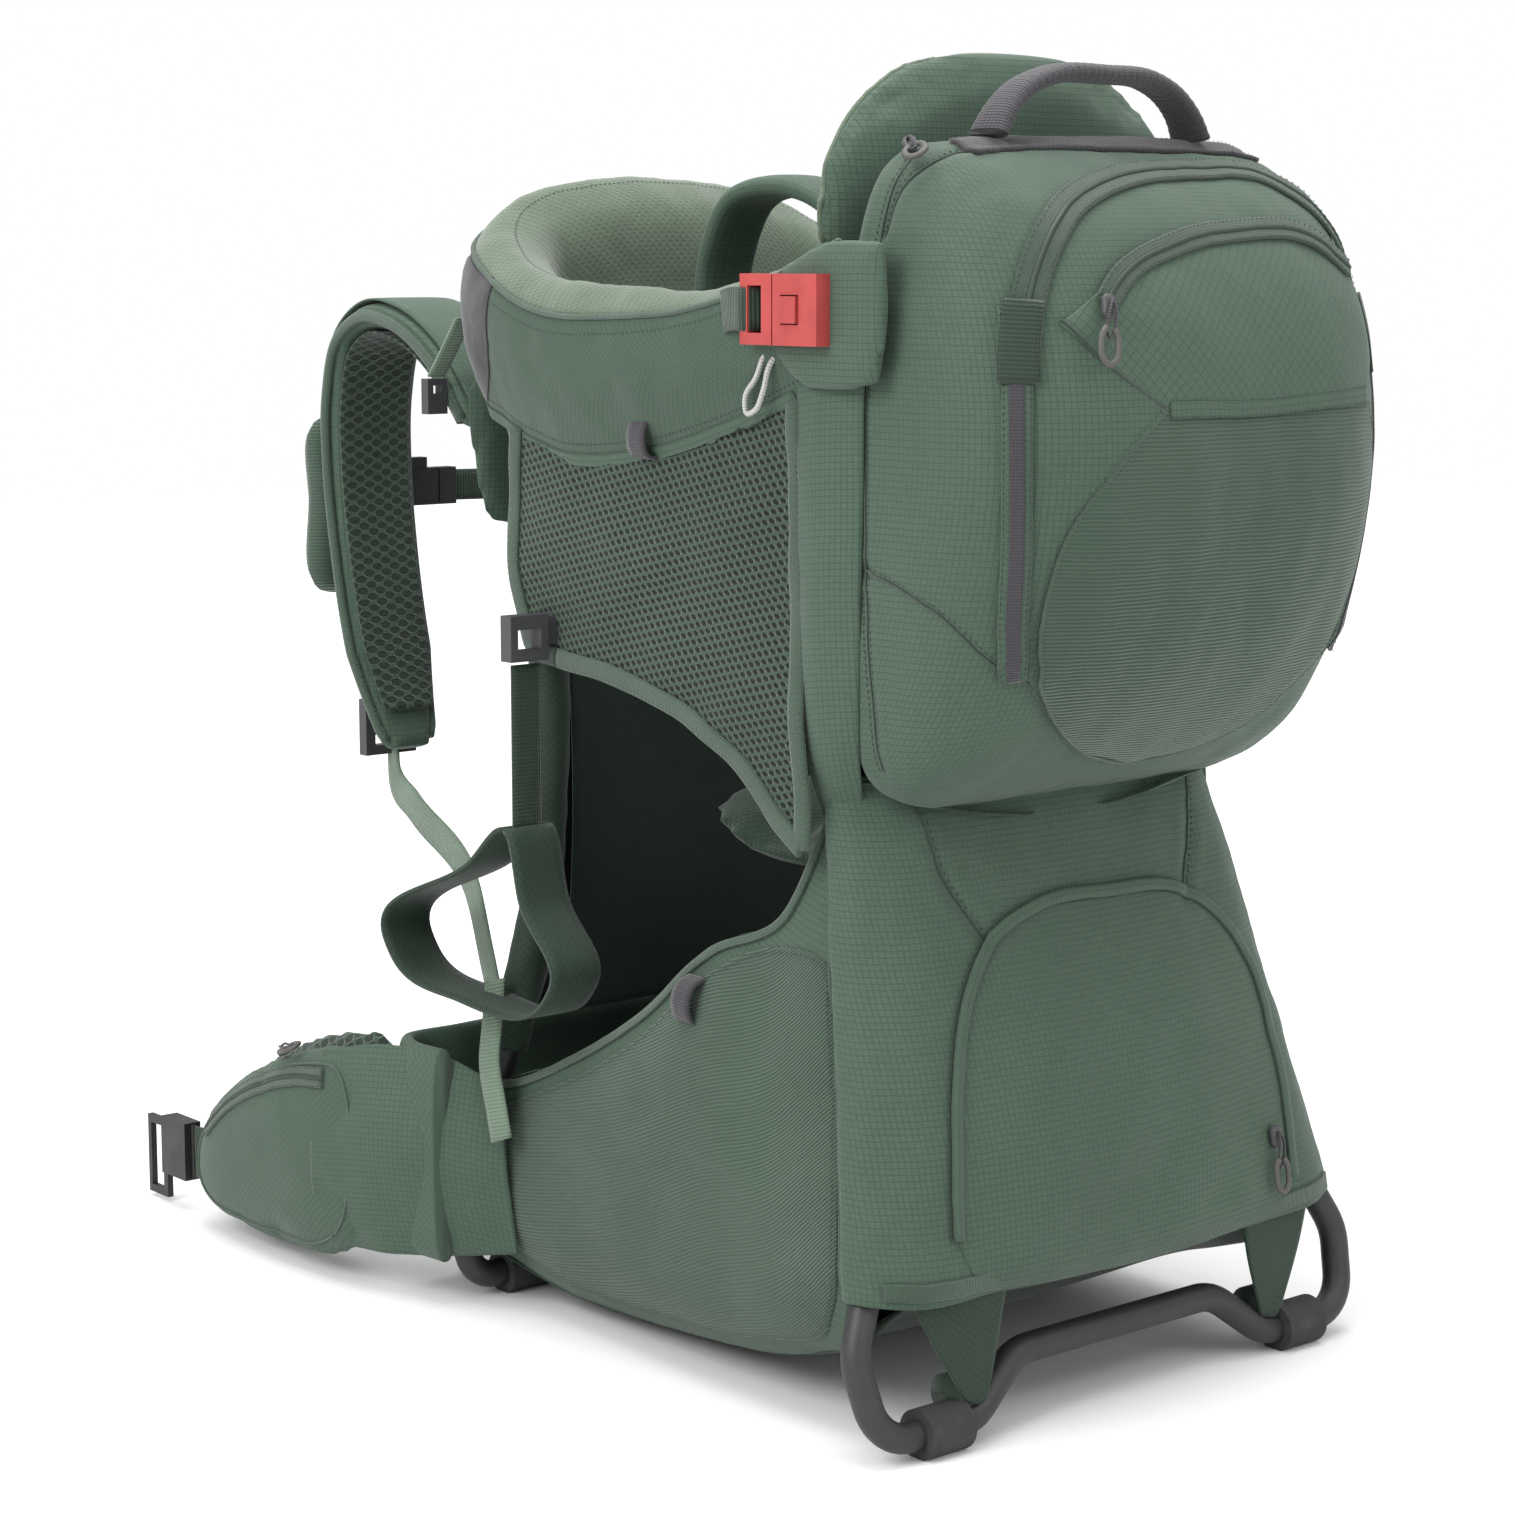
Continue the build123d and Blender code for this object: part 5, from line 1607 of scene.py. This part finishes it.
for name, sign in SIDES:
    wing = pad_mesh(
        f"hip_wing_pad_{name}", smooth([(-195 * sign, y, z) for y, z in wing_outline], 120, True),
        (1, 0, 0), 18, STRAP_MESH, 12, 3.4)
    finish_pad(wing, f"wing_{name}", FROM_THE_SIDE, (5.0, 3.0, 3.0), node=f"hip_wing_{name}")
    pouch = pad_mesh(
        f"hip_pouch_{name}", smooth([(-212 * sign, y, z) for y, z in pocket_shape], 130, True), (1, 0, 0),
        34, RIP_SLANT, 16, 2.3)
    finish_pad(pouch, f"wing_{name}", FROM_THE_SIDE, (4.5, 3.0, 3.0), node=f"hip_pocket_{name}")
    face = MeshSurface(pouch)
    hip_zip = hand(
        [(-228, 446, 128), (-229, 476, 124), (-229, 516, 111), (-229, 560, 90), (-228, 588, 70)], sign)
    zip_line(f"hip_zip_{name}", face, hip_zip, 12, f"wing_{name}", 0.4)
    rim = hand([(-229, y, z) for y, z in rim_shape], sign)
    zip_pull(f"hip_zip_pull_{name}", f"hip_zip_slider_{name}", f"hip_zip_{name}", face, (0, -1, -0.5), 4.0)
    piping(f"hip_seam_{name}", face, rim, 1.0, BINDING, f"wing_{name}", 0.2, True)
    ribbon(
        f"hip_webbing_{name}",
        [(-201 * sign, 596, 42), (-203 * sign, 612, 41), (-207 * sign, 631, 40), (-207 * sign, 636, 40)],
        34, DARK_WEB, f"wing_{name}", (-sign, 0, 0), 2.2, 20)
    stitches(f"wing_{name}", face, hip_zip, (5.2, -5.2), lift=1.6)
    thread = make_stitches(f"wing_{name}", THREAD)
    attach(thread, f"wing_{name}")
    # The belt's root, from the lower body over the front of the wing.
    root = coons(
        [(-170, 326, 36), (-192, 366, 30), (-208, 404, 26), (-222, 456, 24)],
        [(-170, 340, 134), (-190, 370, 150), (-206, 404, 153), (-220, 456, 142)],
        [(-170, 326, 36), (-176, 328, 88), (-170, 340, 134)],
        [(-222, 456, 24), (-230, 456, 84), (-220, 456, 142)], 80, 50, (-5, 0, 0))
    root = creased(root, 2.0, 34, 60.0, (1, 0.7, 1))
    root_grid = hand_grid(root, sign)
    way = looks_out(root_grid, sign)
    root_piece = cloth_piece(f"hip_root_{name}", root_grid, RIP, None, 2.0, outward=way)
    at(0, 404, 90)
    at(0, 440, 90)
    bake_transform(root_piece)

# ---------------------------------------------------------------- foot stirrups
sling = [(306, 292), (290, 250), (262, 212), (270, 200), (356, 188), (420, 202), (428, 212), (340, 268)]
for name, sign in SIDES:
    x = -175 * sign
    line = smooth([(x, y, z) for y, z in sling], 120, True)
    line = np.concatenate([line, line[:1]])
    offsets = np.linspace(-17, 17, 7)
    grid = line[:, None] + np.array([1.0, 0, 0]) * offsets[None, :, None]
    loop = cloth_piece(f"stirrup_sling_{name}", grid, RIP_DARK, f"stirrup_{name}", 2.2)
    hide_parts(f"stirrup_{name}")
    ribbon(
        f"stirrup_webbing_{name}", [(x, 306, 292), (x, 306, 340), (x, 306, 386)], 20, DARK_WEB,
        f"stirrup_{name}", (0, 1, 0), count=20)

# Gussets that tie the rear panel to the kickstand's crossbar.
for name, sign in SIDES:
    front = [(-156, 5, 90), (-122, 0, 90), (-90, -3, 90)]
    tip = [(-122, -5, 26), (-114, -5, 22), (-106, -5, 25)]
    grid = coons(
        hand(tip, sign)[::sign], hand(front, sign)[::sign],
        hand([tip[0], (-142, 0, 60), front[0]] if sign > 0 else [tip[2], (-96, -3, 60), front[2]], sign),
        hand([tip[2], (-96, -3, 60), front[2]] if sign > 0 else [tip[0], (-142, 0, 60), front[0]], sign),
        20, 24)
    piece = cloth_piece(f"gusset_{name}", grid, RIP_DARK, "kickstand", 1.4)
    if sign > 0:
        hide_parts("stand_gussets")
    wrap = tube_grid(
        smooth([(x * sign, 7.5, 26 if abs(x) < 130 else 20) for x in (-125, -107)], 8), 11.5, 24, 1.0,
        up=(0, 0, 1))
    ring_piece(f"gusset_loop_{name}", wrap, DARK_WEB, "kickstand")

for group, body in (("daypack", "pack"), ("lower", "pack")):
    thread = make_stitches(group, THREAD)
    if group == "daypack":
        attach(thread, body)
    else:
        lower_pieces.append(thread)
rear_thread = make_stitches("rear", THREAD)
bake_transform(rear_thread)
for piece in lower_pieces:
    if piece.parent is None:
        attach(piece, "pack")
    at(0, 392, 100)
    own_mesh(piece)

# ---------------------------------------------------------------- studio
ground = make_object(
    "studio_floor", [(-6, -6, 0), (6, -6, 0), (6, 6, 0), (-6, 6, 0)], [(0, 1, 2, 3)],
    [(0, 0), (1, 0), (1, 1), (0, 1)])
floor_shader = Shader("studio_paper", 0.85, 0.0, specular=0.0)
floor_x, floor_y, _ = floor_shader.parts(floor_shader.place)
floor_x = floor_shader.math("SUBTRACT", floor_x, at(0, 200, 0).x)
floor_y = floor_shader.math("SUBTRACT", floor_y, at(0, 200, 0).y)
floor_far = floor_shader.math("SQRT", floor_shader.math(
    "ADD", floor_shader.math("MULTIPLY", floor_x, floor_x), floor_shader.math("MULTIPLY", floor_y, floor_y)))
# Painted light: the floor glows more the further it lies from the pack, and its own colour darkens there, so
# the far floor reads as plain white.
painted_floor_glow = floor_shader.span(floor_far, 0.4, 1.2, 0.0, 1.0, True)
floor_shader.shader.inputs["Emission Color"].default_value = (1, 1, 1, 1)
floor_shader.put(floor_shader.shader.inputs["Emission Strength"], painted_floor_glow)
ground.data.materials.append(floor_shader.finish(floor_shader.blend(
    painted_floor_glow, (0.84, 0.84, 0.84), (0.3, 0.3, 0.3))))
ground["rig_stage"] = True

world = bpy.data.worlds.new("studio")
bpy.context.scene.world = world
world.use_nodes = True
sky = world.node_tree
facing = sky.nodes.new("ShaderNodeTexCoord")
split = sky.nodes.new("ShaderNodeSeparateXYZ")
sky.links.new(facing.outputs["Generated"], split.inputs[0])
height = sky.nodes.new("ShaderNodeMapRange")
for key, number in (("From Min", -0.2), ("From Max", 1.0), ("To Min", 0.22), ("To Max", 1.3)):
    height.inputs[key].default_value = number
sky.links.new(split.outputs[2], height.inputs["Value"])
seen = sky.nodes.new("ShaderNodeLightPath")
bright = sky.nodes.new("ShaderNodeMath")
bright.operation = "MAXIMUM"
sky.links.new(height.outputs[0], bright.inputs[0])
sky.links.new(seen.outputs["Is Camera Ray"], bright.inputs[1])
sky.nodes["Background"].inputs["Color"].default_value = (1, 1, 1, 1)
sky.links.new(bright.outputs[0], sky.nodes["Background"].inputs["Strength"])


def softbox(name, place, target, size, power):
    data = bpy.data.lights.new(name, "AREA")
    data.shape = "RECTANGLE"
    data.size, data.size_y = size
    data.energy = power
    obj = bpy.data.objects.new(name, data)
    bpy.context.scene.collection.objects.link(obj)
    obj.location = place
    obj.rotation_euler = (Vector(target) - Vector(place)).to_track_quat("-Z", "Y").to_euler()
    return obj


middle = at(0, 200, 350)
softbox("key", at(-1900, 0, 1500), middle, (1.2, 1.2), 32)
softbox("fill", at(300, -1900, 1300), middle, (1.4, 1.4), 12)
softbox("top", at(0, 300, 2200), middle, (1.6, 1.6), 34)

CAMERA_PLACE = (-1276.82, -1223.93, 615.5)
CAMERA_DOWN = 8.55          # degrees below the horizontal
CAMERA_TURN = -39.75        # degrees from looking straight forward
CAMERA_VIEW = 25.42         # degrees across the picture
camera_data = bpy.data.cameras.new("camera")
camera_data.sensor_width = 36
camera_data.lens = camera_data.sensor_width / 2 / math.tan(math.radians(CAMERA_VIEW / 2))
camera = bpy.data.objects.new("camera", camera_data)
bpy.context.scene.collection.objects.link(camera)
camera.location = at(*CAMERA_PLACE)
camera.rotation_euler = (math.radians(90 - CAMERA_DOWN), 0, math.radians(CAMERA_TURN))
bpy.context.scene.camera = camera
bpy.context.scene.view_settings.view_transform = "Standard"

# The record's material slot for each finish; everything else is ripstop.
SLOTS = {
    "ribbed_stretch": "stretch", "spacer_mesh": "mesh", "strap_mesh": "mesh", "brushed_liner": "liner",
    "pad_cloth": "dark_cloth", "plum_cloth": "dark_webbing", "pale_webbing": "webbing",
    "grey_cord": "webbing", "dark_green_webbing": "dark_webbing", "plum_webbing": "dark_webbing",
    "zip_coil": "hardware", "zip_pull": "hardware", "dark_hardware": "hardware",}
painted = set(nodes.values())
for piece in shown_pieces():
    if piece not in painted and "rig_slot" not in piece:
        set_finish(piece, SLOTS.get(piece.data.materials[0].name, "ripstop"))
